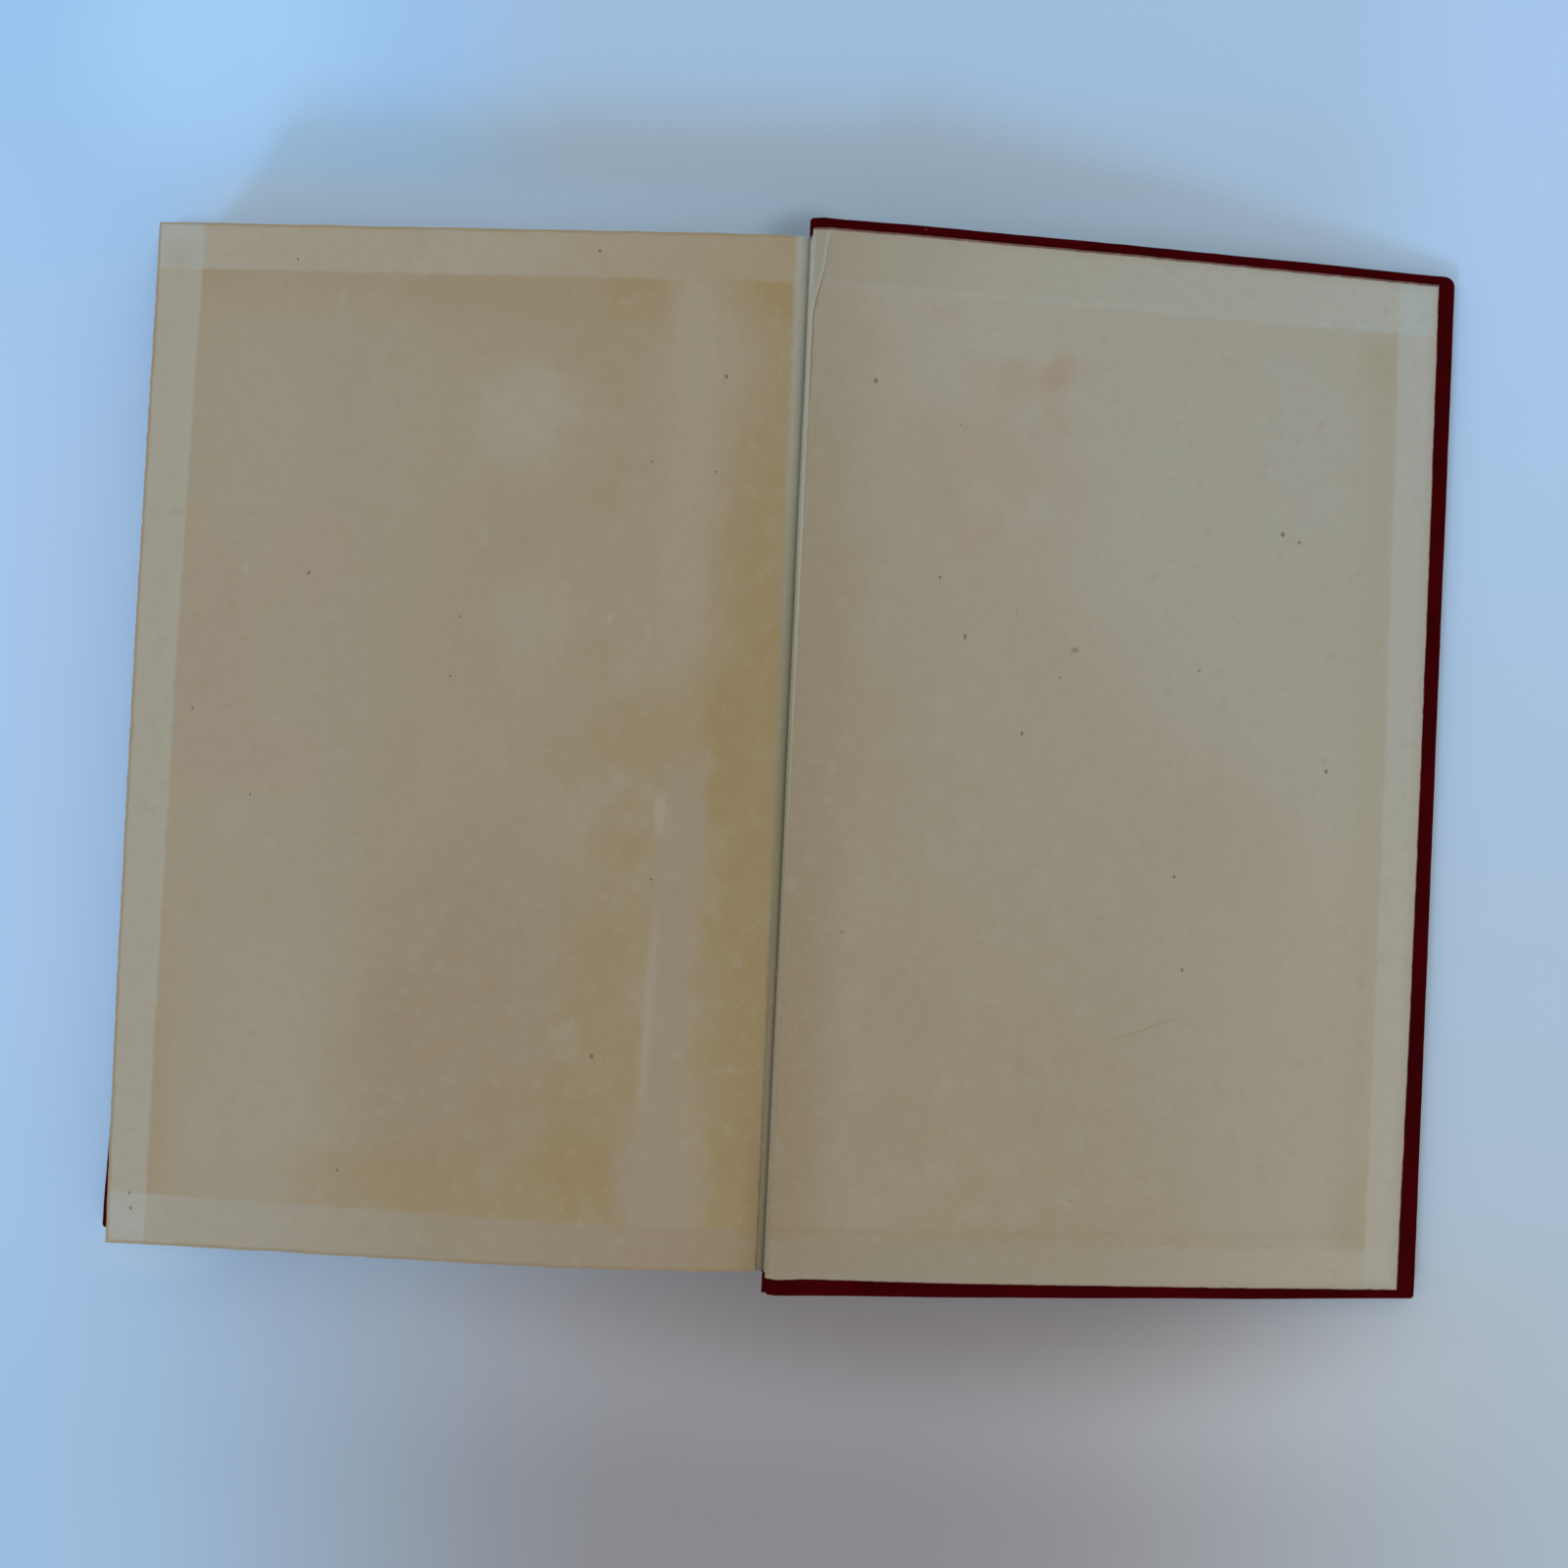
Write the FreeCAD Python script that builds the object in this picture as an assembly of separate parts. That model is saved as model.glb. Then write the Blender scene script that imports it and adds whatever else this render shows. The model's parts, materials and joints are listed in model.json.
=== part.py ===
"""An old case-bound book lying open on its front cover, with the back cover folded out to the right.

Millimetres. X runs from the front cover's fore-edge to the back cover's fore-edge, Y from tail to head,
Z up from the table. The gutter line, where the top leaf meets the spine, is X = 0 while the pieces are
made. At the end everything moves along X so that the origin is under the middle of the whole book.
"""
import FreeCAD, Part
import math
import os

# Leaves
leaf_width = 121.0  # spine edge to fore-edge
leaf_height = 190.0
block_thickness = 19.0  # printed gatherings, without the flyleaves
flyleaf_thickness = 0.2
trim_skew = 0.6  # degrees that the head and tail were trimmed out of square
block_lean = 4.6  # how far the top leaf has slid towards the spine against the bottom one
spine_bulge = 2.5  # rise of the rounded spine over its chord, and hollow of the fore-edge
gutter_dip_width = 2.0  # where the top leaves bend down into the gutter
gutter_dip_depth = 1.2
gathering_count = 12
gathering_groove = 0.25  # width and depth of the groove between two gatherings

# Case
square_fore = 4.6  # how far a cover stands out past the leaves at the fore-edge
square_head = 4.3  # and at head and tail
board_thickness = 2.2
cloth_thickness = 0.35
joint_width = 3.4  # bendy strip beside the spine that has no board in it
hinge_reach = 1.2  # from a leaf's spine edge out to the hinge line
turn_in_width = 11.5  # cloth folded over the board's edges to the inside
corner_radius = 1.2  # of a board's two outer corners, seen from above

# Endpapers and spine lining
pastedown_thickness = 0.2
pastedown_head_margin = 2.2
pastedown_tail_margin = 2.6
pastedown_fore_margin = 3.3
mull_thickness = 0.2  # open-weave gauze
mull_flap_width = 25.0  # gauze glued to the board, from the hinge line
mull_end_margin = 12.0  # gauze and lining stop short of the leaves' head and tail
lining_thickness = 0.25  # paper glued on the gauze along the spine
inlay_thickness = 0.6  # card strip that stiffens the cloth of the spine
inlay_width = 15.0

# Clearances
leaf_clearance = 0.1  # a cover's inner face to the flyleaf that it closes on
hinge_clearance = 0.45  # end of a cover's bendy strip to its hinge line
spine_clearance = 0.95  # end of the spine's layers to a hinge line
hollow_depth = 0.95  # lining to inlay at the middle of the hollow back
lining_gap = 0.25  # lining to spine cloth beside the hinges

# Levels in a cover, measured down from its inner face
turn_in_level = pastedown_thickness
board_level = turn_in_level + cloth_thickness
flap_level = board_level - mull_thickness
flap_paper_level = flap_level - pastedown_thickness
window_level = board_level - pastedown_thickness
back_cloth_level = board_level + board_thickness
cover_thickness = back_cloth_level + cloth_thickness
joint_bottom_level = board_level + cloth_thickness
pivot_level = (flap_paper_level + joint_bottom_level) / 2

cover_width = hinge_reach + leaf_width + square_fore
cover_height = leaf_height + 2 * square_head

# Heights above the table
front_face_z = cover_thickness
flyleaf_bottom_z = front_face_z + leaf_clearance
block_bottom_z = flyleaf_bottom_z + flyleaf_thickness
block_top_z = block_bottom_z + block_thickness
leaf_top_z = block_top_z + flyleaf_thickness

front_pivot = FreeCAD.Vector(hinge_reach - block_lean, 0, front_face_z - pivot_level)
back_pivot = FreeCAD.Vector(hinge_reach, 0, leaf_top_z + leaf_clearance + pivot_level)

# The opened cover slopes down until its outer bottom edge touches the table
edge_drop = cover_thickness - pivot_level
rest_slope = math.degrees(
    math.asin(back_pivot.z / math.hypot(cover_width, edge_drop)) - math.atan2(edge_drop, cover_width)
)

AXIS_X = FreeCAD.Vector(1, 0, 0)
AXIS_Y = FreeCAD.Vector(0, 1, 0)
AXIS_Z = FreeCAD.Vector(0, 0, 1)
ORIGIN = FreeCAD.Vector(0, 0, 0)


def box(x_range, y_range, z_range):
    """A box between two values on each axis."""
    low = FreeCAD.Vector(x_range[0], y_range[0], z_range[0])
    return Part.makeBox(x_range[1] - x_range[0], y_range[1] - y_range[0], z_range[1] - z_range[0], low)


def rounded_box(x_range, y_range, z_range, radius):
    """A box whose two corners at its far X end are rounded as seen from above."""
    block = box(x_range, y_range, z_range)
    corners = [
        edge
        for edge in block.Edges
        if abs(edge.BoundBox.XMin - x_range[1]) < 1e-6 and edge.BoundBox.ZLength > 0.9 * block.BoundBox.ZLength
    ]
    return block.makeFillet(radius, corners)


def flat_point(x, z):
    """A point of the cross-section, which lies in the plane Y = 0."""
    return FreeCAD.Vector(x, 0, z)


class BulgedArc:
    """The circle through two points of the cross-section that rises a given amount to their right."""

    def __init__(self, bottom, top, rise):
        chord = top - bottom
        half_chord = chord.Length / 2
        outward = flat_point(chord.z, -chord.x).normalize()
        self.radius = (half_chord**2 + rise**2) / (2 * rise)
        self.centre = (bottom + top) * 0.5 - outward * (self.radius - rise)
        self.start = self.angle_of(bottom)
        self.end = self.angle_of(top)

    def angle_of(self, point):
        return math.atan2(point.z - self.centre.z, point.x - self.centre.x)

    def point(self, angle, offset=0.0):
        reach = self.radius + offset
        return self.centre + flat_point(reach * math.cos(angle), reach * math.sin(angle))

    def edge(self, start, end, offset=0.0):
        middle = (start + end) / 2
        return Part.Arc(self.point(start, offset), self.point(middle, offset), self.point(end, offset)).toShape()

    def shell(self, inner, outer, start, end, y_range):
        """A curved strip between two offsets from the circle and two angles."""
        edges = [
            self.edge(start, end, outer),
            Part.makeLine(self.point(end, outer), self.point(end, inner)),
            self.edge(end, start, inner),
            Part.makeLine(self.point(start, inner), self.point(start, outer)),
        ]
        return extrude(edges, y_range)


def extrude(edges, y_range):
    """A closed cross-section drawn out along Y."""
    face = Part.Face(Part.Wire(edges))
    face.translate(AXIS_Y * y_range[0])
    return face.extrude(AXIS_Y * (y_range[1] - y_range[0]))


def trimmed(shape, height):
    """The part of a shape between head and tail, which were cut a little out of square."""
    half = height / 2
    far = 2 * leaf_width
    slab = box((-far, far), (-half, half), (-far, far))
    slab.rotate(ORIGIN, AXIS_Z, trim_skew)
    return shape.common(slab)


untrimmed = (-leaf_height, leaf_height)

spine_arc = BulgedArc(flat_point(-block_lean, block_bottom_z), flat_point(0, block_top_z), spine_bulge)


def block_profile(fore_inset, spine_reach):
    """The leaves' cross-section: the same width at every level, with rounded spine and hollow fore-edge."""
    spine_shift = AXIS_X * spine_reach
    fore_shift = AXIS_X * (fore_inset - leaf_width)
    spine_edge = spine_arc.edge(spine_arc.start, spine_arc.end)
    spine_edge.translate(spine_shift)
    fore_edge = spine_arc.edge(spine_arc.end, spine_arc.start)
    fore_edge.translate(fore_shift)
    top = flat_point(0, block_top_z)
    bottom = flat_point(-block_lean, block_bottom_z)
    top_line = Part.makeLine(top + spine_shift, top + fore_shift)
    bottom_line = Part.makeLine(bottom + fore_shift, bottom + spine_shift)
    return [spine_edge, top_line, fore_edge, bottom_line]


dip_radius = (gutter_dip_width**2 + gutter_dip_depth**2) / (2 * gutter_dip_depth)
dip_centre = flat_point(-gutter_dip_width, block_top_z - dip_radius)


def dip_point(offset, angle):
    """A point on the bend into the gutter, at an angle from straight up."""
    reach = dip_radius + offset
    return dip_centre + flat_point(reach * math.sin(angle), reach * math.cos(angle))


def dip_edge(offset, start, end):
    middle = (start + end) / 2
    return Part.Arc(dip_point(offset, start), dip_point(offset, middle), dip_point(offset, end)).toShape()


def gutter_cut():
    """What is missing from the block's top where its leaves bend down into the gutter."""
    past_spine = math.asin(min(1.0, (gutter_dip_width + hinge_reach) / dip_radius))
    start = dip_point(0, 0)
    end = dip_point(0, past_spine)
    above = flat_point(0, leaf_clearance + flyleaf_thickness)
    edges = [
        dip_edge(0, 0, past_spine),
        Part.makeLine(end, flat_point(end.x, start.z) + above),
        Part.makeLine(flat_point(end.x, start.z) + above, start + above),
        Part.makeLine(start + above, start),
    ]
    return extrude(edges, untrimmed)


def make_pages():
    """All the gatherings as one block, with a groove round its edges between each two of them."""
    full = trimmed(extrude(block_profile(0, 0), untrimmed), leaf_height)
    core = extrude(block_profile(gathering_groove, spine_bulge), untrimmed)
    core = trimmed(core, leaf_height - 2 * gathering_groove)
    pitch = block_thickness / gathering_count
    reach = 2 * leaf_width
    grooves = []
    for index in range(1, gathering_count):
        level = block_bottom_z + index * pitch
        sheet = (level - gathering_groove / 2, level + gathering_groove / 2)
        grooves.append(box((-reach, reach), (-reach, reach), sheet).cut(core))
    return full.cut(grooves).cut(gutter_cut())


def make_front_flyleaf():
    """The loose endpaper leaf under the block."""
    spine_x = -block_lean
    sheet = box((spine_x - leaf_width, spine_x), untrimmed, (flyleaf_bottom_z, block_bottom_z))
    return trimmed(sheet, leaf_height)


def make_back_flyleaf():
    """The loose endpaper leaf on top of the block, which bends down at the gutter."""
    turn = math.asin(min(1.0, gutter_dip_width / (dip_radius + flyleaf_thickness)))
    fore_low = flat_point(-leaf_width, block_top_z)
    fore_high = flat_point(-leaf_width, leaf_top_z)
    edges = [
        Part.makeLine(fore_low, fore_high),
        Part.makeLine(fore_high, dip_point(flyleaf_thickness, 0)),
        dip_edge(flyleaf_thickness, 0, turn),
        Part.makeLine(dip_point(flyleaf_thickness, turn), dip_point(0, turn)),
        dip_edge(0, turn, 0),
        Part.makeLine(dip_point(0, 0), fore_low),
    ]
    return trimmed(extrude(edges, untrimmed), leaf_height)


def angle_clear_of(pivot, side):
    """The angle on the spine's circle that stays clear of a hinge line, on the given side of it."""
    return spine_arc.angle_of(pivot) + side * spine_clearance / spine_arc.radius


layer_start = angle_clear_of(front_pivot, 1)
layer_end = angle_clear_of(back_pivot, -1)
glue_end = spine_arc.angle_of(flat_point(0, block_top_z - gutter_dip_depth))
glued_half_height = leaf_height / 2 - mull_end_margin
glued_range = (-glued_half_height, glued_half_height)


def make_spine_mull():
    """Gauze glued over the folds of the gatherings."""
    return spine_arc.shell(0, mull_thickness, layer_start, glue_end, glued_range)


def make_spine_lining():
    """Paper glued over the gauze."""
    outside = mull_thickness + lining_thickness
    return spine_arc.shell(mull_thickness, outside, layer_start, glue_end, glued_range)


lining_outside = mull_thickness + lining_thickness
hollow_rise = hollow_depth + inlay_thickness - lining_gap


def hollow_arc():
    """The inner face of the spine's cloth, which stands off the lining and leaves a hollow back."""
    low = spine_arc.point(layer_start, lining_outside + lining_gap)
    high = spine_arc.point(layer_end, lining_outside + lining_gap)
    half_turn = (layer_end - layer_start) / 2
    concentric_rise = (spine_arc.radius + lining_outside + lining_gap) * (1 - math.cos(half_turn))
    return BulgedArc(low, high, concentric_rise + hollow_rise)


cloth_arc = hollow_arc()
inlay_half_turn = inlay_width / 2 / cloth_arc.radius
inlay_middle = (cloth_arc.start + cloth_arc.end) / 2
inlay_start = inlay_middle - inlay_half_turn
inlay_end = inlay_middle + inlay_half_turn
inlay_half_height = cover_height / 2 - cloth_thickness


def make_spine_inlay():
    """Card strip inside the spine's cloth."""
    return cloth_arc.shell(-inlay_thickness, 0, inlay_start, inlay_end, (-inlay_half_height, inlay_half_height))


def make_spine_cloth():
    """The case's cloth where it crosses the spine, turned in over the ends of the card strip."""
    half = cover_height / 2
    shape = cloth_arc.shell(0, cloth_thickness, cloth_arc.start, cloth_arc.end, (-half, half))
    for side in (-1, 1):
        end_range = sorted((side * half, side * inlay_half_height))
        fold_range = sorted((side * half, side * (inlay_half_height - turn_in_width)))
        inner = -inlay_thickness
        cap = cloth_arc.shell(inner - cloth_thickness, cloth_thickness, inlay_start, inlay_end, end_range)
        fold = cloth_arc.shell(inner - cloth_thickness, inner, inlay_start, inlay_end, fold_range)
        shape = shape.fuse([cap, fold])
    return shape.removeSplitter()


def place_cover(shape, pivot, turn_axis, turn):
    """Moves a cover's piece from its own frame, hinge line at the origin, to where it lies at rest."""
    shape.rotate(ORIGIN, turn_axis, turn)
    shape.translate(pivot)
    return shape


def level(value):
    """Height in a cover's own frame of a level measured down from its inner face."""
    return pivot_level - value


def make_board():
    """Millboard inside a cover."""
    half = cover_height / 2 - cloth_thickness
    return rounded_box(
        (joint_width, cover_width - cloth_thickness),
        (-half, half),
        (level(back_cloth_level), level(board_level)),
        corner_radius,
    )


def make_cover_cloth(board):
    """Cloth round a board: outside, over three edges, turned in on the inside, and down into the joint."""
    half = cover_height / 2
    wrap = rounded_box(
        (joint_width - cloth_thickness, cover_width),
        (-half, half),
        (level(cover_thickness), level(turn_in_level)),
        corner_radius + cloth_thickness,
    )
    joint = box(
        (hinge_clearance, joint_width), (-half, half), (level(joint_bottom_level), level(turn_in_level))
    )
    window_half = half - turn_in_width
    window = box(
        (0, cover_width - turn_in_width), (-window_half, window_half), (level(board_level), level(0))
    )
    return wrap.fuse(joint).cut(board).cut(window).removeSplitter()


def make_mull_flap():
    """Gauze that runs from the spine over the joint and is glued to the board."""
    return box((hinge_clearance, mull_flap_width), glued_range, (level(board_level), level(flap_level)))


def make_pastedown(cloth, flap, head_side):
    """Endpaper glued inside a cover: it lies over the turn-ins and the gauze, and steps down between them."""
    half = cover_height / 2
    head = half - pastedown_head_margin
    tail = half - pastedown_tail_margin
    y_range = (-tail, head) if head_side > 0 else (-head, tail)
    sheet = box(
        (hinge_clearance, cover_width - pastedown_fore_margin), y_range, (level(board_level), level(0))
    )
    window_end = cover_width - turn_in_width - pastedown_thickness
    window_half = half - turn_in_width - pastedown_thickness
    flap_half = glued_range[1] + pastedown_thickness
    flap_end = mull_flap_width + pastedown_thickness
    above = 1.0
    over_board = box(
        (flap_end, window_end), (-window_half, window_half), (level(window_level), level(0) + above)
    )
    over_flap = box((0, window_end), (-window_half, window_half), (level(flap_paper_level), level(0) + above))
    sides = []
    for side in (-1, 1):
        y_side = sorted((side * window_half, side * flap_half))
        sides.append(box((0, window_end), y_side, (level(window_level), level(0) + above)))
    return sheet.cut([over_board, over_flap, *sides]).cut([cloth, flap])


def make_cover(prefix, pivot, turn_axis, turn, head_side):
    """A whole cover's pieces by name."""
    board = make_board()
    cloth = make_cover_cloth(board)
    flap = make_mull_flap()
    pastedown = make_pastedown(cloth, flap, head_side)
    pieces = {"board": board, "cover_cloth": cloth, "mull_flap": flap, "pastedown": pastedown}
    return {f"{prefix}_{name}": place_cover(piece, pivot, turn_axis, turn) for name, piece in pieces.items()}


def make_book():
    pieces = {
        "pages": make_pages(),
        "front_flyleaf": make_front_flyleaf(),
        "back_flyleaf": make_back_flyleaf(),
        "spine_mull": make_spine_mull(),
        "spine_lining": make_spine_lining(),
        "spine_inlay": make_spine_inlay(),
        "spine_cloth": make_spine_cloth(),
    }
    pieces.update(make_cover("front", front_pivot, AXIS_Z, 180, -1))
    pieces.update(make_cover("back", back_pivot, AXIS_Y, rest_slope, 1))
    return pieces


def main():
    slope = math.radians(rest_slope)
    front_edge_x = front_pivot.x - cover_width
    back_edge_x = back_pivot.x + cover_width * math.cos(slope) + level(turn_in_level) * math.sin(slope)
    to_origin = AXIS_X * (-(front_edge_x + back_edge_x) / 2)
    os.makedirs("parts", exist_ok=True)
    for name, shape in make_book().items():
        shape.translate(to_origin)
        shape.exportStep(f"parts/{name}.step")
        extent = shape.BoundBox
        print(f"{name}: {len(shape.Solids)} solid, {extent.XLength:.2f} x {extent.YLength:.2f} x {extent.ZLength:.2f}")
    for name, pivot in (("front", front_pivot), ("back", back_pivot)):
        print(f"{name} hinge line: x {pivot.x + to_origin.x:.3f}, z {pivot.z:.3f}")
    print(f"opened cover slopes {rest_slope:.3f} degrees, closes at {180 + rest_slope:.3f}")


main()
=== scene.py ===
"""The looks of an old cloth-bound book that lies open at its back endpapers.

Shapes are written in millimetres in the book's own frame: X = 0 at the gutter edge of the top leaf,
Y = 0 half way between tail and head, Z up from the table. A cover has a frame of its own: u runs from
the hinge line to the fore-edge, y along the hinge, and depth down from the cover's inner face to its
outer one.
"""
import json
import math

import bmesh
import bpy
import numpy as np
from mathutils import Matrix, Vector


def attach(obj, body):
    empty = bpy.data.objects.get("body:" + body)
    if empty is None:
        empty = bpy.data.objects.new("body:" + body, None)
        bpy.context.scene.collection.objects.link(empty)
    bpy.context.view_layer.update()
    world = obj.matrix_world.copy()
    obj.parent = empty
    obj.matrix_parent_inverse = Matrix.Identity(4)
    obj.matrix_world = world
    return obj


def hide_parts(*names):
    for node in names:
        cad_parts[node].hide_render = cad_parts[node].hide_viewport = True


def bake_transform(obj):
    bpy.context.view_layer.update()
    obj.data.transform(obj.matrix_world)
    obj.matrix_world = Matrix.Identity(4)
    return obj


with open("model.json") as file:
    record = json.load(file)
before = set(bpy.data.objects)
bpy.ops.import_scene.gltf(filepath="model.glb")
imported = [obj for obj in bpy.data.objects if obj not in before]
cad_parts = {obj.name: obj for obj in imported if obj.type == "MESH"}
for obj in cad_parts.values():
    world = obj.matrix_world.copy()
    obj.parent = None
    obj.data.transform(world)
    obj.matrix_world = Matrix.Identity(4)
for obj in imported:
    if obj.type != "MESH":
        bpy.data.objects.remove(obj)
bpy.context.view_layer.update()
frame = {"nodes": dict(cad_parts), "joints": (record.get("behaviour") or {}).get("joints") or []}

MM = 0.001

# Leaves
LEAF_WIDTH = 121.0
LEAF_HEIGHT = 190.0
BLOCK_THICKNESS = 19.0
SHEET = 0.2
TRIM_SKEW = math.tan(math.radians(0.6))
BLOCK_LEAN = 4.6
SPINE_BULGE = 2.5
LEAF_COUNT = 176
GATHERING_LEAVES = 16

# The bend of the top leaves into the gutter, wider at the head than at the tail
CLEAN_WIDTH_HEAD = 2.1  # of the strip along the gutter that the fold kept clean
CLEAN_WIDTH_TAIL = 0.6
DIP_WIDTH_HEAD = 0.95
DIP_WIDTH_TAIL = 0.6
DIP_DEPTH = 0.16
DIP_POWER = 1.8
DIP_REACH = 6.0  # how far down into the block the bend can be seen

# Covers
COVER_WIDTH = 126.8
COVER_HEIGHT = 198.6
COVER_THICKNESS = 3.1
CLOTH = 0.35
TURN_IN = 11.5
HEAD_RADIUS = 1.9
TAIL_RADIUS = 0.75
CORNER_PATCH = 2.0  # the square at each corner in which the outline turns
JOINT_WIDTH = 3.4
JOINT_DEPTH = 0.9
HINGE_REACH = 1.2
CLOTH_START = 0.2  # where the cloth and paper of a cover begin, from its hinge line
PAPER_START = 0.02
CREASE_HEAD_U, CREASE_TAIL_U = 2.8, 0.65  # the pastedown's crease, from the hinge line
MULL_FLAP_EDGE = (-26.2, -24.2)  # the gauze's edge under the pastedown, as -u
MULL_FLAP_END = (-84, -82.5)  # and its two ends, as -|y|
CREASE_TURN = (6.0, 19.5)  # its bend, down from the cover's head
CREASE_FLARE = 0.55
CREASE_FLARE_TURN = (2.4, 6.5)
PIVOT_DEPTH = 0.525
TURN_IN_DEPTH = 0.2
FLOOR_DEPTH = 0.5  # hidden inner floor of a cover's cloth, just above its board
PASTE_MARGINS = {"head": 2.02, "tail": 3.3, "fore": 3.65}

CORNER_KNOCK = 0.68

# Spine
INLAY = 0.6
INLAY_WIDTH = 15.0
LINING_OUTSIDE = 0.45
LINING_GAP = 0.25
HOLLOW_DEPTH = 0.95
SPINE_CLEARANCE = 0.95

HALF_LEAF = LEAF_HEIGHT / 2
HALF_COVER = COVER_HEIGHT / 2
BLOCK_BOTTOM = COVER_THICKNESS + 0.1 + SHEET
BLOCK_TOP = BLOCK_BOTTOM + BLOCK_THICKNESS
LEAF_TOP = BLOCK_TOP + SHEET

hinges = {joint["child"]: Vector(joint["pos_m"]) / MM for joint in frame["joints"]}
TO_ROW = hinges["back_cover"].x - HINGE_REACH  # the book frame's X = 0 in the row's frame
FRONT_PIVOT = (hinges["front_cover"].x - TO_ROW, hinges["front_cover"].z)
BACK_PIVOT = (hinges["back_cover"].x - TO_ROW, hinges["back_cover"].z)
EDGE_DROP = COVER_THICKNESS - PIVOT_DEPTH
EDGE_SLOPE = math.atan2(EDGE_DROP, COVER_WIDTH)
REST_SLOPE = math.asin(BACK_PIVOT[1] / math.hypot(COVER_WIDTH, EDGE_DROP)) - EDGE_SLOPE


# Shape helpers


def smoothstep(value, low, high):
    share = np.clip((np.asarray(value, float) - low) / (high - low), 0, 1)
    return share * share * (3 - 2 * share)


def spaced(*runs):
    """Positions from (start, end, step) runs that follow each other."""
    stops = [np.linspace(a, b, max(2, round((b - a) / step) + 1))[:-1] for a, b, step in runs]
    return np.append(np.concatenate(stops), runs[-1][1])


def ripple(x, y, size, seed, waves=7):
    """A smooth random surface about 1 high each way, from a few seeded waves of about the given length."""
    random = np.random.default_rng(seed)
    total = 0
    for _ in range(waves):
        angle, phase, stretch = random.uniform(0, math.tau, 3)
        length = size * (0.6 + 0.8 * stretch / math.tau)
        total = total + np.sin((x * math.cos(angle) + y * math.sin(angle)) * math.tau / length + phase)
    return total / math.sqrt(waves)


class BulgedArc:
    """The circle through two points (x, z) that rises a given amount to their right."""

    def __init__(self, low, high, rise):
        low, high = np.array(low, float), np.array(high, float)
        chord = high - low
        half = np.hypot(*chord) / 2
        outward = np.array([chord[1], -chord[0]]) / (2 * half)
        self.radius = (half**2 + rise**2) / (2 * rise)
        self.centre = (low + high) / 2 - outward * (self.radius - rise)
        self.start = self.angle_of(low)
        self.end = self.angle_of(high)

    def angle_of(self, point):
        return math.atan2(point[1] - self.centre[1], point[0] - self.centre[0])

    def point(self, angle, offset=0.0):
        reach = self.radius + offset
        return self.centre[0] + reach * np.cos(angle), self.centre[1] + reach * np.sin(angle)

    def x_at(self, z):
        return self.centre[0] + np.sqrt(self.radius**2 - (np.asarray(z) - self.centre[1]) ** 2)


BLOCK_ARC = BulgedArc((-BLOCK_LEAN, BLOCK_BOTTOM), (0, BLOCK_TOP), SPINE_BULGE)


def spine_cloth_arc():
    """The inner face of the spine's cloth."""
    offset = LINING_OUTSIDE + LINING_GAP
    start = BLOCK_ARC.angle_of(FRONT_PIVOT) + SPINE_CLEARANCE / BLOCK_ARC.radius
    end = BLOCK_ARC.angle_of(BACK_PIVOT) - SPINE_CLEARANCE / BLOCK_ARC.radius
    concentric = (BLOCK_ARC.radius + offset) * (1 - math.cos((end - start) / 2))
    rise = concentric + HOLLOW_DEPTH + INLAY - LINING_GAP
    return BulgedArc(BLOCK_ARC.point(start, offset), BLOCK_ARC.point(end, offset), rise)


CLOTH_ARC = spine_cloth_arc()


def book_points(x, y, z):
    return np.stack(np.broadcast_arrays(x, y, z), -1).astype(float)


def cover_outline(u, y):
    """A cover's edges are a little crowned, its fore-edge isn't square, and it is shorter at the hinge."""
    taller = 0.2 * np.sin(math.pi * np.clip(u / COVER_WIDTH, 0, 1)) - 0.4 * (1 - smoothstep(u, -1, 3.2))
    taller = taller - 0.15 * (1 - smoothstep(u, 3, 24))
    slant = 0.2 * smoothstep(u, 80, COVER_WIDTH) * y / HALF_COVER
    return u + slant, y * (1 + taller / HALF_COVER)


def back_cover_points(u, y, depth):
    """Where a point of the opened back cover lies in the book's frame."""
    u, y = cover_outline(u, y)
    rise = PIVOT_DEPTH - depth
    x = BACK_PIVOT[0] + u * math.cos(REST_SLOPE) + rise * math.sin(REST_SLOPE)
    z = BACK_PIVOT[1] - u * math.sin(REST_SLOPE) + rise * math.cos(REST_SLOPE)
    return book_points(x, y, z)


def front_cover_points(u, y, depth):
    """The same for the closed front cover, whose y runs from head to tail.

    Its tail corner is knocked outwards.
    """
    u, y = cover_outline(u, np.asarray(y))
    knocked = CORNER_KNOCK * smoothstep(u, 108, COVER_WIDTH) * smoothstep(y, 66, 100)
    return book_points(FRONT_PIVOT[0] - u - knocked, -y, FRONT_PIVOT[1] + PIVOT_DEPTH - depth)


class Surface:
    """One rectangular grid of points (rows, columns, 3) with its map (rows, columns, 2) and its wear."""

    def __init__(self, points, mapping, wear=0.0):
        self.points = points
        if isinstance(mapping, tuple):
            mapping = np.stack(np.broadcast_arrays(*mapping), -1)
        self.mapping = mapping
        self.wear = np.broadcast_to(wear, points.shape[:2])

    def quads(self, first):
        rows, columns = self.points.shape[:2]
        index = np.arange(rows * columns).reshape(rows, columns) + first
        corners = [index[:-1, :-1], index[:-1, 1:], index[1:, 1:], index[1:, :-1]]
        return np.stack(corners, -1).reshape(-1, 4)


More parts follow.
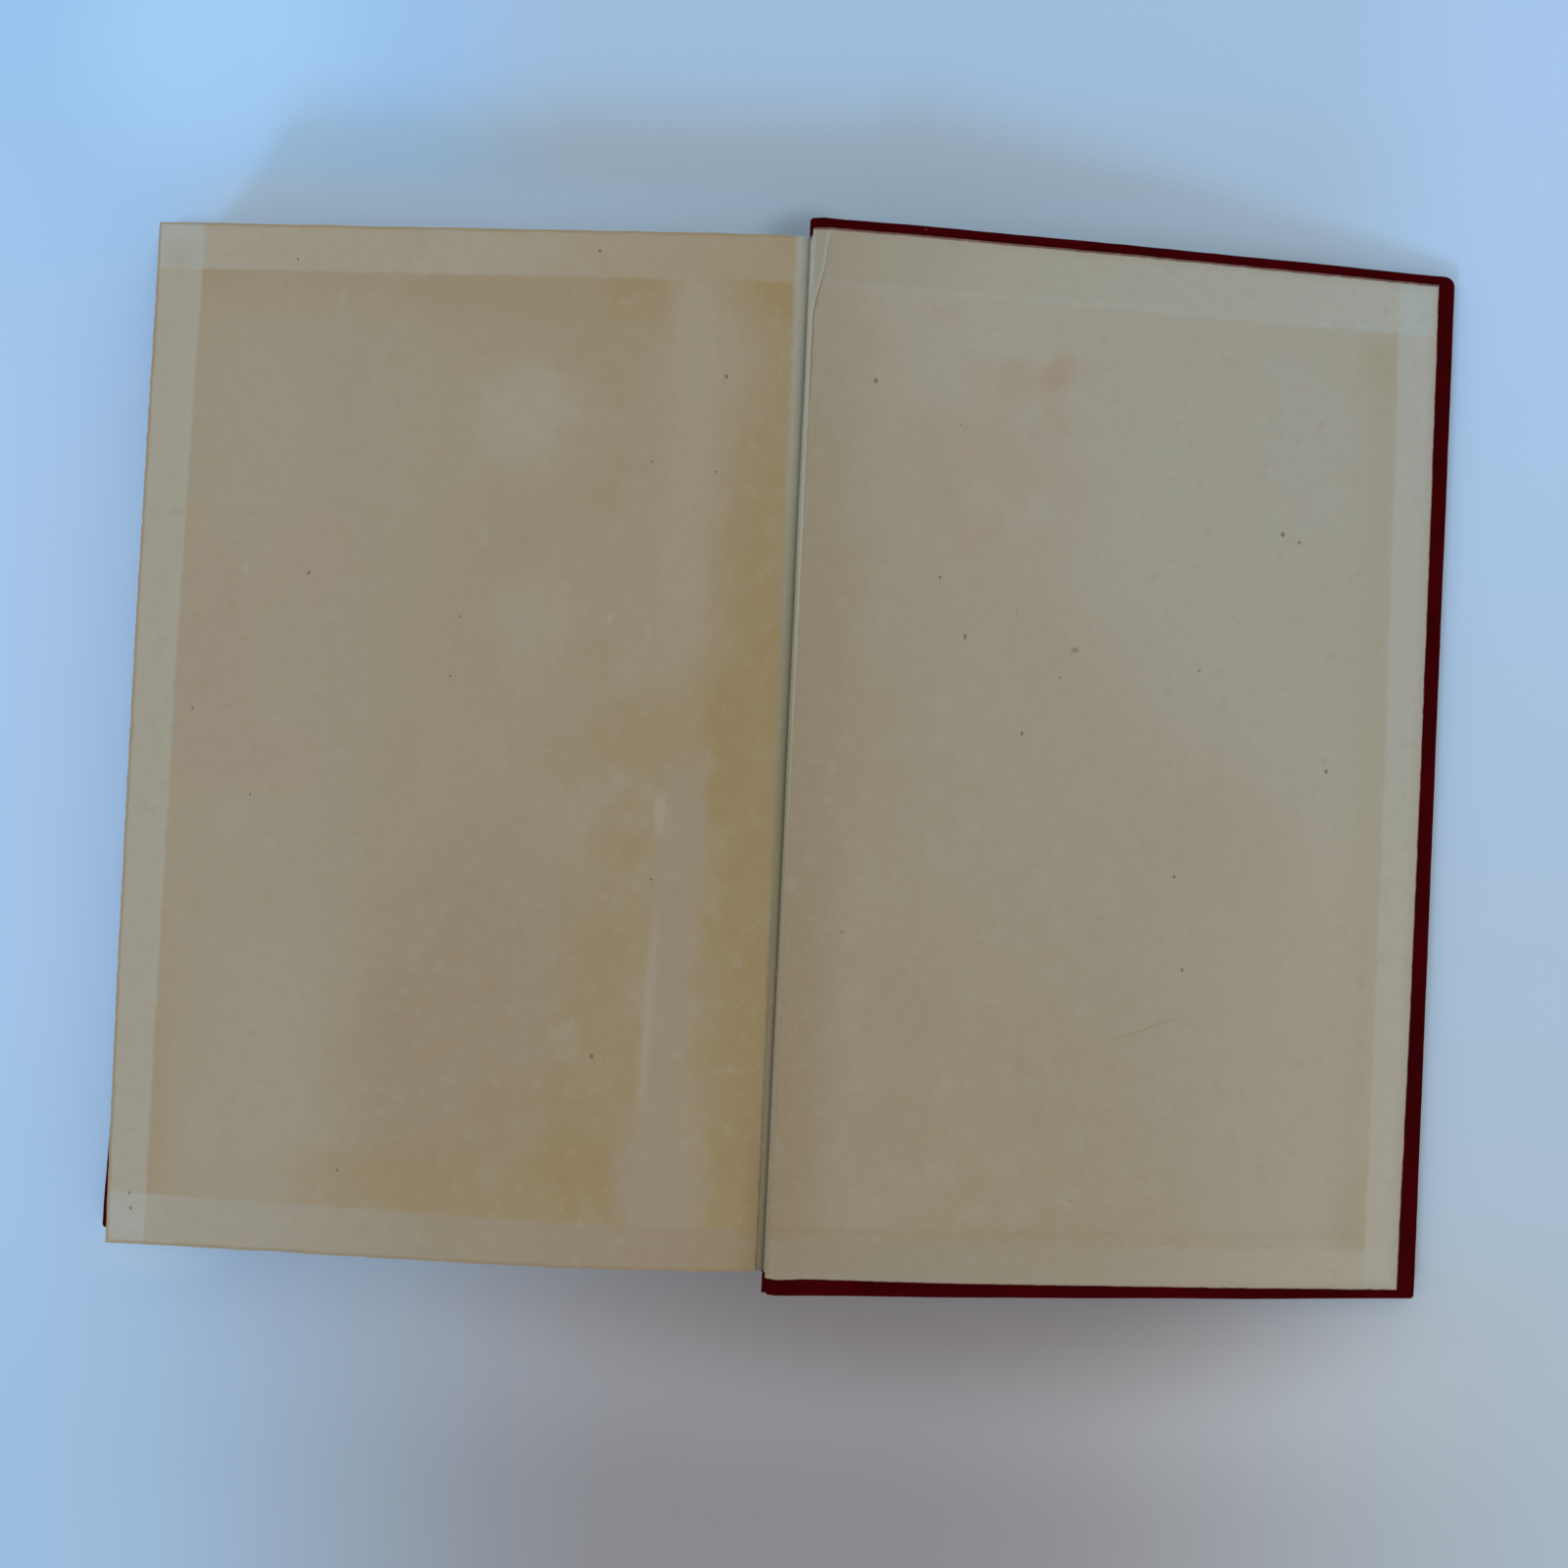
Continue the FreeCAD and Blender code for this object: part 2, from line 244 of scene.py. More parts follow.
def build_piece(name, surfaces, material, sharp=40, weld=0.004):
    """Joins grids into one closed mesh, in metres in the row's frame."""
    points = np.concatenate([s.points.reshape(-1, 3) for s in surfaces])
    mapping = np.concatenate([s.mapping.reshape(-1, 2) for s in surfaces])
    wear = np.concatenate([s.wear.reshape(-1) for s in surfaces])
    quads, first = [], 0
    for s in surfaces:
        quads.append(s.quads(first))
        first += s.points.shape[0] * s.points.shape[1]
    quads = np.concatenate(quads)
    mesh = bpy.data.meshes.new(name)
    mesh.from_pydata(((points + (TO_ROW, 0, 0)) * MM).tolist(), [], quads.tolist())
    layer = mesh.uv_layers.new(name="mm")
    layer.data.foreach_set("uv", mapping[quads.ravel()].astype(np.float32).ravel())
    mesh.attributes.new("wear", "FLOAT", "POINT").data.foreach_set("value", wear.astype(np.float32))
    close_mesh(mesh, weld)
    mesh.polygons.foreach_set("use_smooth", np.ones(len(mesh.polygons), bool))
    mesh.set_sharp_from_angle(angle=math.radians(sharp))
    piece = bpy.data.objects.new(name, mesh)
    bpy.context.scene.collection.objects.link(piece)
    mesh.materials.append(material)
    return piece


def close_mesh(mesh, weld):
    """Welds the grids' shared edges, fills what is still open and turns the faces outwards."""
    work = bmesh.new()
    work.from_mesh(mesh)
    bmesh.ops.remove_doubles(work, verts=work.verts, dist=weld * MM)
    bmesh.ops.dissolve_degenerate(work, edges=work.edges, dist=weld * MM / 10)
    bmesh.ops.holes_fill(work, edges=[edge for edge in work.edges if edge.is_boundary], sides=0)
    bmesh.ops.recalc_face_normals(work, faces=work.faces)
    work.to_mesh(mesh)
    work.free()


# Materials


def srgb(red, green, blue):
    """A colour as it looks on screen, 0 to 255, as the linear value that a shader takes."""
    channels = [value / 255 for value in (red, green, blue)]
    return (*[c / 12.92 if c <= 0.04045 else ((c + 0.055) / 1.055) ** 2.4 for c in channels], 1.0)


class Paint:
    """A material whose node tree is written as sums. Distances in it are millimetres."""

    def __init__(self, name, mapped=True):
        self.material = bpy.data.materials.new(name)
        self.material.use_nodes = True
        self.tree = self.material.node_tree
        self.tree.nodes.clear()
        if mapped:
            self.place = self.add("ShaderNodeUVMap", uv_map="mm").outputs[0]
        else:
            position = self.add("ShaderNodeTexCoord").outputs["Object"]
            self.place = self.vector("SCALE", position, scale=1 / MM)
        parts = self.add("ShaderNodeSeparateXYZ", {0: self.place})
        self.x, self.y, self.z = parts.outputs

    def add(self, kind, inputs=None, **settings):
        node = self.tree.nodes.new(kind)
        for key, value in settings.items():
            setattr(node, key, value)
        for key, value in (inputs or {}).items():
            self.feed(node.inputs[key], value)
        return node

    def feed(self, socket, value):
        if isinstance(value, bpy.types.NodeSocket):
            self.tree.links.new(value, socket)
        else:
            socket.default_value = value

    def calc(self, operation, *values, clamp=False):
        inputs = dict(enumerate(values))
        return self.add("ShaderNodeMath", inputs, operation=operation, use_clamp=clamp).outputs[0]

    def times(self, value, factor):
        return self.calc("MULTIPLY", value, factor)

    def minus(self, value, other):
        return self.calc("SUBTRACT", value, other)

    def vector(self, operation, *values, scale=None):
        inputs = dict(enumerate(values))
        if scale is not None:
            inputs["Scale"] = scale
        node = self.add("ShaderNodeVectorMath", inputs, operation=operation)
        return node.outputs["Value" if operation in ("LENGTH", "DISTANCE") else "Vector"]

    def rising(self, value, low, high):
        """0 below low, 1 above high, smooth between."""
        inputs = {"Value": value, "From Min": low, "From Max": high}
        return self.add("ShaderNodeMapRange", inputs, interpolation_type="SMOOTHSTEP").outputs[0]

    def falling(self, value, low, high):
        return self.minus(1.0, self.rising(value, low, high))

    def noise(self, size, seed, detail=2.0, roughness=0.5, place=None, distortion=0.0):
        """Noise from 0 to 1 whose grain is about size across."""
        inputs = {"Vector": place or self.place, "W": seed, "Scale": 1 / size, "Detail": detail}
        inputs.update({"Roughness": roughness, "Distortion": distortion})
        return self.add("ShaderNodeTexNoise", inputs, noise_dimensions="4D").outputs[0]

    def specks(self, size, seed, radius, keep):
        """Sparse round dots, on a grid of cells of the given size, of which a share is kept."""
        inputs = {"Vector": self.place, "W": seed, "Scale": 1 / size}
        cells = self.add("ShaderNodeTexVoronoi", inputs, voronoi_dimensions="4D")
        drawn = self.add("ShaderNodeSeparateColor", {0: cells.outputs["Color"]}).outputs[0]
        chosen = self.calc("LESS_THAN", drawn, keep)
        return self.times(self.falling(cells.outputs["Distance"], radius * 0.5, radius), chosen)

    def wobbled(self, size, amount, seed, detail=3.0):
        """The place on the sheet, pushed about a little so that an edge isn't straight."""
        inputs = {"Vector": self.place, "W": seed, "Scale": 1 / size, "Detail": detail}
        noise = self.add("ShaderNodeTexNoise", inputs, noise_dimensions="4D").outputs["Color"]
        centred = self.vector("SUBTRACT", noise, (0.5, 0.5, 0.5))
        return self.vector("ADD", self.place, self.vector("SCALE", centred, scale=2 * amount))

    def blob(self, place, centre, radii, soft):
        """1 inside an ellipse, 0 outside, across a soft edge given as a share of the radius."""
        offset = self.vector("SUBTRACT", place, (*centre, 0.0))
        scaled = self.vector("DIVIDE", offset, (*radii, 1.0))
        return self.falling(self.vector("LENGTH", scaled), 1 - soft, 1 + soft)

    def strip(self, value, low, high, soft):
        """1 between two values, 0 outside."""
        inside = self.rising(value, low - soft, low + soft)
        return self.times(inside, self.falling(value, high - soft, high + soft))

    def total(self, terms):
        """The sum of (strength, mask) terms, at most 1."""
        result = 0.0
        for strength, mask in terms:
            result = self.calc("MULTIPLY_ADD", mask, strength, result, clamp=True)
        return result

    def blobs(self, place, terms, soft):
        """The sum of blobs, each (centre, radii, strength)."""
        return self.total([(s, self.blob(place, centre, radii, soft)) for centre, radii, s in terms])

    def ramp(self, value, stops):
        """A colour that runs through stops, each (position, red, green, blue) with srgb's values."""
        node = self.add("ShaderNodeValToRGB", {0: value})
        elements = node.color_ramp.elements
        while len(elements) < len(stops):
            elements.new(0.5)
        for element, (position, *channels) in zip(elements, stops):
            element.position = position
            element.color = srgb(*channels)
        return node.outputs[0]

    def mix(self, share, first, second, blend="MIX"):
        node = self.add("ShaderNodeMix", data_type="RGBA", blend_type=blend)
        self.feed(node.inputs[0], share)
        self.feed(node.inputs[6], first)
        self.feed(node.inputs[7], second)
        return node.outputs[2]

    def wash(self, colour, mask, strength, tone):
        """The colour with a tone laid over it where the mask is, at the given strength."""
        return self.mix(self.times(mask, strength), colour, tone)

    def finish(self, colour, roughness, height, bump_mm, specular=0.3, sheen=0.0):
        """The surface shader, with a bump whose height of 1 stands for bump_mm."""
        bump = self.add("ShaderNodeBump", {"Height": height, "Distance": bump_mm * MM, "Strength": 1.0})
        inputs = {"Base Color": colour, "Roughness": roughness, "Normal": bump.outputs[0]}
        inputs.update({"Specular IOR Level": specular, "Sheen Weight": sheen, "Sheen Roughness": 0.4})
        shader = self.add("ShaderNodeBsdfPrincipled", inputs)
        self.add("ShaderNodeOutputMaterial", {"Surface": shader.outputs[0]})
        return self.material


PAPER_ROUGHNESS = 0.86
OCHRE = srgb(141, 124, 90)
CORNER = srgb(156, 160, 154)
DARK_SPECK = srgb(92, 80, 66)


def paper_grain(paint, seed):
    """Fibres and felt marks, from 0 to 1."""
    felt = paint.noise(1.1, seed, detail=3, roughness=0.6)
    fibre = paint.noise(0.25, seed + 1, detail=2, roughness=0.6)
    return paint.total([(0.6, felt), (0.4, fibre)])


def leaf_paint():
    """Toned endpaper: brown where the facing print lay, pale where the cover's folds kept it clean."""
    paint = Paint("toned_flyleaf")
    soft_place = paint.wobbled(13.0, 2.6, 3.0, detail=3)
    near_place = paint.wobbled(3.0, 0.45, 5.0)
    near_x, near_y, _ = paint.add("ShaderNodeSeparateXYZ", {0: near_place}).outputs
    soft_x, soft_y, _ = paint.add("ShaderNodeSeparateXYZ", {0: soft_place}).outputs

    def patches(colour, tone, terms, soft=0.55):
        return paint.mix(paint.blobs(soft_place, terms, soft), colour, tone)

    colour = paint.ramp(paint.calc("DIVIDE", soft_x, LEAF_WIDTH), [
        (0.08, 148, 139, 121), (0.28, 147, 139, 122), (0.42, 144, 136, 116), (0.65, 144, 134, 112),
        (1.0, 146, 134, 111),
    ])
    mottle = paint.rising(paint.noise(16.0, 11.0, detail=3), 0.4, 0.62)
    colour = paint.wash(colour, mottle, 0.4, srgb(147, 139, 121))
    colour = patches(colour, srgb(148, 136, 120), [
        ((13, 112), (9, 19), 0.55), ((22, 90), (14, 6), 0.5), ((32, 128), (12, 10), 0.3),
        ((95, 135), (5, 24), 0.4),
    ])
    colour = patches(colour, srgb(142, 130, 109), [((68, 44), (20, 36), 0.8), ((56, 36), (16, 22), 0.45)])
    colour = patches(colour, srgb(151, 145, 129), [
        ((71, 156), (10, 9), 0.75), ((52, 150), (14, 22), 0.25), ((74, 118), (8, 8), 0.4),
        ((27, 38), (11, 26), 0.35), ((20, 150), (10, 22), 0.3),
    ])
    brown = [
        ((104, 96), (25, 12), 0.44), ((93, 80), (6, 7), 0.4), ((77, 27), (9, 8), 0.35),
        ((114, 118), (9, 44), 0.34), ((92, 38), (11, 36), 0.58), ((115, 48), (9, 64), 0.55),
        ((64, 12), (30, 9.5), 0.55), ((88, 16), (10, 8), 0.25), ((92, 176), (9, 7), 0.30),
        ((113, 178), (12, 6), 0.30),
    ]
    brown_share = paint.blobs(soft_place, brown, 0.45)
    right_side = paint.times(paint.rising(soft_x, 104, 119), 0.5)
    top_line = paint.times(paint.rising(soft_y, 170, 181), 0.3)
    left_line = paint.times(paint.falling(soft_x, 8, 13), paint.falling(soft_y, 20, 85))
    brown_share = paint.total([(1.0, brown_share), (1.0, right_side), (1.0, top_line), (0.25, left_line)])
    blotch = paint.calc("MULTIPLY_ADD", paint.rising(paint.noise(7.0, 23.0, detail=3), 0.3, 0.7), 0.3, 0.8)
    brown_share = paint.calc("MINIMUM", paint.times(brown_share, blotch), 0.97)
    colour = paint.mix(brown_share, colour, OCHRE)
    band_x = paint.calc("MULTIPLY_ADD", paint.y, -0.03, near_x)
    band = paint.times(paint.strip(band_x, 96.6, 104.6, 1.6), paint.falling(soft_y, 88, 98))
    colour = paint.wash(colour, band, 0.8, srgb(143, 132, 112))
    foot = paint.blob(soft_place, (102, 16), (9, 9), 0.4)
    colour = paint.wash(colour, foot, 0.75, srgb(143, 132, 115))
    upper = paint.times(paint.strip(near_x, 97.5, 105.0, 2.4), paint.rising(soft_y, 108, 118))
    upper = paint.total([(0.6, upper), (0.5, paint.blob(soft_place, (105, 168), (9, 14), 0.5))])
    colour = paint.mix(upper, colour, srgb(148, 140, 121))
    pale = [
        ((99.0, 83), (1.1, 3.6), 0.6), ((20, 125.6), (0.5, 1.4), 0.65),
        ((88.2, 118.5), (0.5, 0.9), 0.6), ((82, 128), (0.5, 0.8), 0.3),
        ((35.4, 176.7), (0.9, 1.6), 0.35), ((27, 153), (0.8, 1.6), 0.35),
        ((64, 133), (0.8, 2.2), 0.3), ((69.5, 155), (2.5, 1.5), 0.25),
        ((26.7, 75.4), (1.2, 1.0), 0.25), ((11, 71.6), (0.9, 0.8), 0.3), ((20, 80), (3, 5), 0.3),
        ((17, 22), (3, 7), 0.3), ((68, 93), (2, 3), 0.2),
    ]
    pale_terms = [(s, paint.blob(near_place, c, r, 0.45)) for c, r, s in pale]
    line = paint.times(paint.strip(band_x, 96.4, 97.9, 0.7), paint.strip(paint.y, 30, 62, 9))
    fade = paint.total([*pale_terms, (0.45, line)])
    colour = paint.mix(fade, colour, srgb(152, 147, 132))
    across = paint.calc("DIVIDE", paint.x, LEAF_WIDTH)
    left_edge = paint.calc("MULTIPLY_ADD", paint.y, 0.008, 7.1)
    left = paint.falling(paint.minus(near_x, left_edge), -0.35, 0.35)
    top = paint.rising(near_y, 181.0, 181.8)
    tail_edge = paint.calc("MULTIPLY_ADD", paint.x, -0.016, 9.4)
    bottom = paint.falling(paint.minus(near_y, tail_edge), -0.5, 0.5)
    top_tone = paint.ramp(across, [
        (0.0, 154, 153, 143), (0.1, 154, 149, 135), (0.3, 152, 146, 130), (0.52, 151, 146, 130),
        (0.74, 149, 140, 120), (1.0, 146, 134, 109),
    ])
    bottom_tone = paint.ramp(across, [
        (0.0, 154, 152, 142), (0.12, 150, 147, 135), (0.26, 148, 144, 131), (0.5, 142, 134, 116),
        (0.84, 141, 128, 109), (1.0, 138, 124, 99),
    ])
    colour = paint.wash(colour, top, 0.92, top_tone)
    colour = paint.wash(colour, bottom, 0.92, bottom_tone)
    colour = paint.wash(colour, left, 0.9, srgb(154, 152, 140))
    colour = paint.wash(colour, left, paint.total([(1.0, top), (0.8, bottom)]), CORNER)
    margin_stain = paint.times(paint.rising(paint.noise(9.0, 21.0, detail=3), 0.5, 0.7), 0.3)
    colour = paint.wash(colour, margin_stain, top, srgb(147, 134, 112))
    colour = dirty_edges(paint, colour, paint.x, paint.y, LEAF_HEIGHT)
    clean_taper = (CLEAN_WIDTH_HEAD - CLEAN_WIDTH_TAIL) / LEAF_HEIGHT
    clean_from = paint.calc("MULTIPLY_ADD", paint.y, -clean_taper, LEAF_WIDTH - CLEAN_WIDTH_TAIL)
    beside = paint.times(paint.rising(near_x, 115.5, 120.5), paint.falling(paint.y, 0, 60))
    colour = paint.wash(colour, beside, 0.45, srgb(119, 99, 70))
    softness = paint.calc("MULTIPLY_ADD", paint.y, 0.0055, 0.25)
    clean = paint.rising(paint.minus(near_x, clean_from), -0.35, softness)
    # the strip along the gutter takes the gutter's tone, with painted shade darkening it towards the tail
    colour = paint.mix(clean, colour, gutter_tone_and_shade(paint))
    spots = [
        (83.0, 186.3, 0.3), (107.5, 163.7, 0.35), (31.7, 125.3, 0.28), (88.6, 38.4, 0.35),
        (4.0, 9.4, 0.22), (4.4, 6.6, 0.25), (26.5, 183.5, 0.18), (59.0, 107.0, 0.2),
        (98.0, 71.0, 0.22), (106.5, 146, 0.2), (94.5, 147.5, 0.18), (23.0, 84.0, 0.2),
        (11.5, 99.5, 0.2), (42.5, 15.5, 0.2), (60.5, 118, 0.16),
    ]
    colour = paint.mix(dots(paint, near_place, spots), colour, DARK_SPECK)
    return finish_paper(paint, colour, 31.0)


def dirty_edges(paint, colour, across, along, height):
    """A thin brown line round a leaf's open edges."""
    reach = paint.calc("MULTIPLY_ADD", paint.noise(7.0, 41.0, detail=3), 0.9, 0.1)
    from_edge = paint.calc("MINIMUM", paint.calc("MINIMUM", across, along), paint.minus(height, along))
    share = paint.falling(paint.calc("DIVIDE", from_edge, reach), 0.3, 1.5)
    return paint.mix(paint.times(share, 0.6), colour, srgb(134, 115, 82))


def gutter_tone_and_shade(paint):
    """Paper that the fold kept clean at the head, and darker towards the tail as painted shade of the
    deeper gutter there.
    """
    return paint.ramp(paint.calc("DIVIDE", paint.y, LEAF_HEIGHT), [
        (0.0, 90, 81, 61), (0.09, 106, 97, 74), (0.19, 116, 107, 84), (0.28, 118, 110, 86),
        (0.38, 124, 119, 95), (0.51, 126, 123, 102), (0.66, 133, 130, 112), (0.76, 139, 138, 123),
        (0.85, 143, 142, 129), (0.94, 146, 146, 135), (1.0, 148, 151, 144),
    ])


def dots(paint, place, spots):
    """Small dark specks at given places, each (x, y, radius)."""
    terms = [((x, y), (radius, radius * 1.25), 0.75) for x, y, radius in spots]
    return paint.blobs(place, terms, 0.5)


def finish_paper(paint, colour, seed, thread=None):
    """Fine flecks, grain and a soft bump on top of a paper's tone."""
    fleck = paint.specks(2.6, seed, 0.075, 0.16)
    colour = paint.wash(colour, fleck, 0.35, srgb(112, 98, 80))
    cloud = paint.noise(3.2, seed + 8, detail=3, roughness=0.65)
    colour = paint.wash(colour, paint.rising(cloud, 0.5, 0.8), 0.35, srgb(154, 147, 131))
    colour = paint.wash(colour, paint.falling(cloud, 0.2, 0.5), 0.22, srgb(136, 122, 96))
    grain = paper_grain(paint, seed + 4)
    shade = paint.calc("MULTIPLY_ADD", grain, 0.18, 0.91)
    grey = paint.add("ShaderNodeCombineColor", {0: shade, 1: shade, 2: shade}).outputs[0]
    colour = paint.mix(1.0, colour, grey, "MULTIPLY")
    height = grain if thread is None else paint.total([(0.6, grain), (0.4, thread)])
    return paint.finish(colour, PAPER_ROUGHNESS, height, 0.05, specular=0.15)


def woven(paint, pitch, seed, wander=0.18):
    """A plain weave: threads over and under each other, 0 to 1."""
    sway = paint.times(paint.noise(4.0, seed, detail=2), wander * 3)
    warp = paint.calc("SINE", paint.times(paint.calc("ADD", paint.x, sway), math.tau / pitch))
    weft = paint.calc("SINE", paint.times(paint.calc("ADD", paint.y, sway), math.tau / pitch))
    return paint.calc("MULTIPLY_ADD", paint.times(warp, weft), 0.5, 0.5)


def pastedown_paint():
    """Endpaper glued inside the back cover: clean over the turn-ins, browner towards gutter and tail."""
    paint = Paint("toned_pastedown")
    soft_place = paint.wobbled(22.0, 4.0, 53.0, detail=1.5)
    soft_x, soft_y, _ = paint.add("ShaderNodeSeparateXYZ", {0: soft_place}).outputs
    near_place = paint.wobbled(3.0, 0.5, 55.0)
    near_x, near_y, _ = paint.add("ShaderNodeSeparateXYZ", {0: near_place}).outputs
    diagonal = paint.calc("MULTIPLY_ADD", soft_y, 0.9, soft_x)
    colour = paint.mix(paint.rising(diagonal, 150, 200), srgb(149, 142, 127), srgb(152, 151, 140))
    low = paint.falling(diagonal, 60, 165)
    colour = paint.wash(colour, low, 0.85, srgb(145, 136, 115))
    right = paint.times(paint.rising(soft_x, 62, 116), paint.falling(soft_y, 60, 130))
    colour = paint.wash(colour, right, 0.75, srgb(157, 150, 135))
    olive = [
        ((38, 34), (28, 26), 0.45), ((10, 102), (10, 16), 0.3), ((6, 130), (8, 10), 0.4),
        ((2, 155), (8, 9), 0.5), ((112.5, 17), (4, 8), 0.35), ((40, 17), (36, 7), 0.3),
        ((112, 181), (5, 5), 0.3),
    ]
    olive_share = paint.blobs(soft_place, olive, 0.7)
    colour = paint.mix(olive_share, colour, srgb(142, 134, 109))
    pink = [
        ((30, 150), (13, 12), 0.45), ((48, 172), (3.5, 8), 0.5), ((85, 85), (14, 14), 0.3),
        ((8, 178), (10, 8), 0.35), ((10, 60), (6, 40), 0.35), ((28, 183), (6, 3), 0.5),
        ((42, 182), (6, 4), 0.5), ((44, 160), (16, 22), 0.35), ((39, 175), (9, 8), 0.25),
    ]
    pink_share = paint.blobs(soft_place, pink, 0.6)
    colour = paint.mix(pink_share, colour, srgb(149, 137, 121))
    cool = paint.blob(soft_place, (99.0, 168.0), (9.0, 22.0), 0.6)
    colour = paint.wash(colour, cool, 0.6, srgb(152, 153, 146))
    cloudy = paint.noise(6.0, 62.0, detail=4, roughness=0.6)
    colour = paint.wash(colour, paint.rising(cloudy, 0.45, 0.75), 0.3, srgb(153, 149, 135))
    upward = paint.calc("DIVIDE", paint.y, COVER_HEIGHT)
    gutter_side = paint.ramp(upward, [
        (0.0, 137, 122, 97), (0.2, 137, 123, 98), (0.45, 140, 129, 107), (0.7, 140, 132, 111),
        (0.88, 143, 137, 121), (0.97, 144, 138, 123),
    ])
    colour = paint.wash(colour, paint.falling(soft_x, 2, 17), 0.8, gutter_side)
    fore = paint.rising(paint.calc("MULTIPLY_ADD", paint.y, 0.005, near_x), 115.6, 116.8)
    head = paint.rising(near_y, 185.8, 187.1)
    tail = paint.falling(near_y, 9.6, 11.6)
    just_inside = paint.times(paint.rising(near_x, 106, 114), paint.minus(1.0, fore))
    colour = paint.wash(colour, just_inside, 0.3, srgb(146, 140, 120))
    tail_line = paint.times(paint.strip(near_y, 10.3, 12.3, 1.1), paint.falling(near_x, 70, 110))
    colour = paint.wash(colour, tail_line, 0.3, srgb(139, 126, 101))
    tail_tone = paint.ramp(paint.calc("DIVIDE", paint.x, COVER_WIDTH), [
        (0.0, 137, 128, 108), (0.16, 139, 131, 113), (0.48, 144, 136, 118), (0.8, 156, 149, 134),
        (1.0, 158, 156, 144),
    ])
    colour = paint.wash(colour, tail, 0.85, tail_tone)
    head_tone = paint.ramp(paint.calc("DIVIDE", near_x, COVER_WIDTH), [
        (0.02, 143, 137, 124), (0.09, 146, 142, 128), (0.25, 151, 149, 137), (0.95, 155, 161, 156),
    ])
    colour = paint.wash(colour, head, 0.85, head_tone)
    fore_tone = paint.mix(paint.rising(paint.y, 40, 190), srgb(159, 157, 145), srgb(156, 160, 155))
    colour = paint.wash(colour, fore, 0.85, fore_tone)
    corner = paint.times(fore, head)
    colour = paint.wash(colour, corner, 0.8, srgb(156, 166, 165))
    joint_tone = paint.ramp(upward, [
        (0.0, 126, 119, 98), (0.3, 134, 127, 107), (0.6, 143, 137, 121), (0.9, 140, 141, 131),
    ])
    from_head = paint.minus(COVER_HEIGHT, paint.y)
    bend = paint.rising(from_head, *CREASE_TURN)
    crease = paint.calc("MULTIPLY_ADD", bend, CREASE_TAIL_U - CREASE_HEAD_U, CREASE_HEAD_U)
    crease = paint.calc("MULTIPLY_ADD", paint.falling(from_head, *CREASE_FLARE_TURN), CREASE_FLARE, crease)
    past_crease = paint.minus(paint.calc("MULTIPLY_ADD", near_x, 0.25, paint.times(paint.x, 0.75)), crease)
    joint = paint.falling(past_crease, -0.2, 0.05)
    colour = paint.wash(colour, joint, 0.85, joint_tone)
    fading = paint.falling(from_head, 40, 110)
    # painted highlight: a pale line on the lit, raised side of the crease
    crease_highlight = paint.times(paint.strip(past_crease, -0.55, 0.0, 0.2), fading)
    colour = paint.wash(colour, crease_highlight, 0.65, srgb(157, 156, 143))
    # painted shadow: a dark line that the raised paper at the crease casts beside it
    crease_shadow = paint.times(paint.strip(past_crease, 0.06, 0.36, 0.12), paint.strip(from_head, 11, 32, 5))
    colour = paint.wash(colour, crease_shadow, 0.7, srgb(116, 104, 84))
    # painted highlight: a pale line along the pastedown's rounded edge at the hinge
    rim = paint.times(paint.falling(near_x, 0.45, 0.8), paint.rising(paint.y, 70, 150))
    colour = paint.wash(colour, rim, 0.7, srgb(154, 155, 146))
    spots = [
        (13.0, 168.8, 0.33), (93.4, 146.1, 0.35), (96.9, 144.8, 0.25), (26.8, 133.3, 0.28),
        (32.1, 122.6, 0.35), (50.6, 116.2, 0.2), (43.6, 105.2, 0.3), (104.0, 101.5, 0.35),
        (74.7, 80.2, 0.25), (76.9, 62.8, 0.3), (11.1, 67.1, 0.2), (77.8, 119.2, 0.2),
        (29.6, 162.0, 0.15), (101, 28.8, 0.15), (57, 18.8, 0.15),
    ]
    colour = paint.mix(dots(paint, near_place, spots), colour, DARK_SPECK)
    stain = paint.blob(near_place, (53.5, 121.5), (0.75, 0.5), 0.5)
    colour = paint.wash(colour, stain, 0.55, srgb(118, 100, 74))
    below_scratch = paint.minus(near_y, paint.calc("MULTIPLY_ADD", near_x, 0.36, 26.1))
    scratch = paint.times(paint.strip(below_scratch, -0.25, 0.25, 0.2), paint.strip(near_x, 64, 76, 2))
    colour = paint.wash(colour, scratch, 0.3, srgb(128, 110, 88))
    fibre = paint.blob(paint.wobbled(2.0, 0.5, 71.0), (41.7, 127.8), (0.11, 1.8), 0.6)
    colour = paint.wash(colour, fibre, 0.4, srgb(120, 112, 100))
    gauze = paint.times(woven(paint, 1.1, 73.0), paint.falling(paint.x, 20, 34))
    colour = paint.wash(colour, gauze, 0.12, srgb(124, 112, 92))
    to_fore = paint.minus(COVER_WIDTH - PASTE_MARGINS["fore"], paint.x)
    to_head = paint.minus(COVER_HEIGHT - PASTE_MARGINS["head"], paint.y)
    to_tail = paint.minus(paint.y, PASTE_MARGINS["tail"])
    to_rim = paint.calc("MINIMUM", paint.calc("MINIMUM", to_fore, to_head), to_tail)
    colour = paint.wash(colour, paint.falling(to_rim, 0.0, 2.4), 0.4, srgb(140, 134, 121))
    to_rim = paint.calc("MINIMUM", to_rim, paint.minus(to_head, 0.24))
    to_rim = paint.calc("MULTIPLY_ADD", paint.noise(1.4, 75.0, detail=3), -0.3, to_rim)
    colour = paint.wash(colour, paint.falling(to_rim, -0.1, 0.12), 0.85, srgb(88, 50, 50))
    return finish_paper(paint, colour, 81.0, thread=gauze)


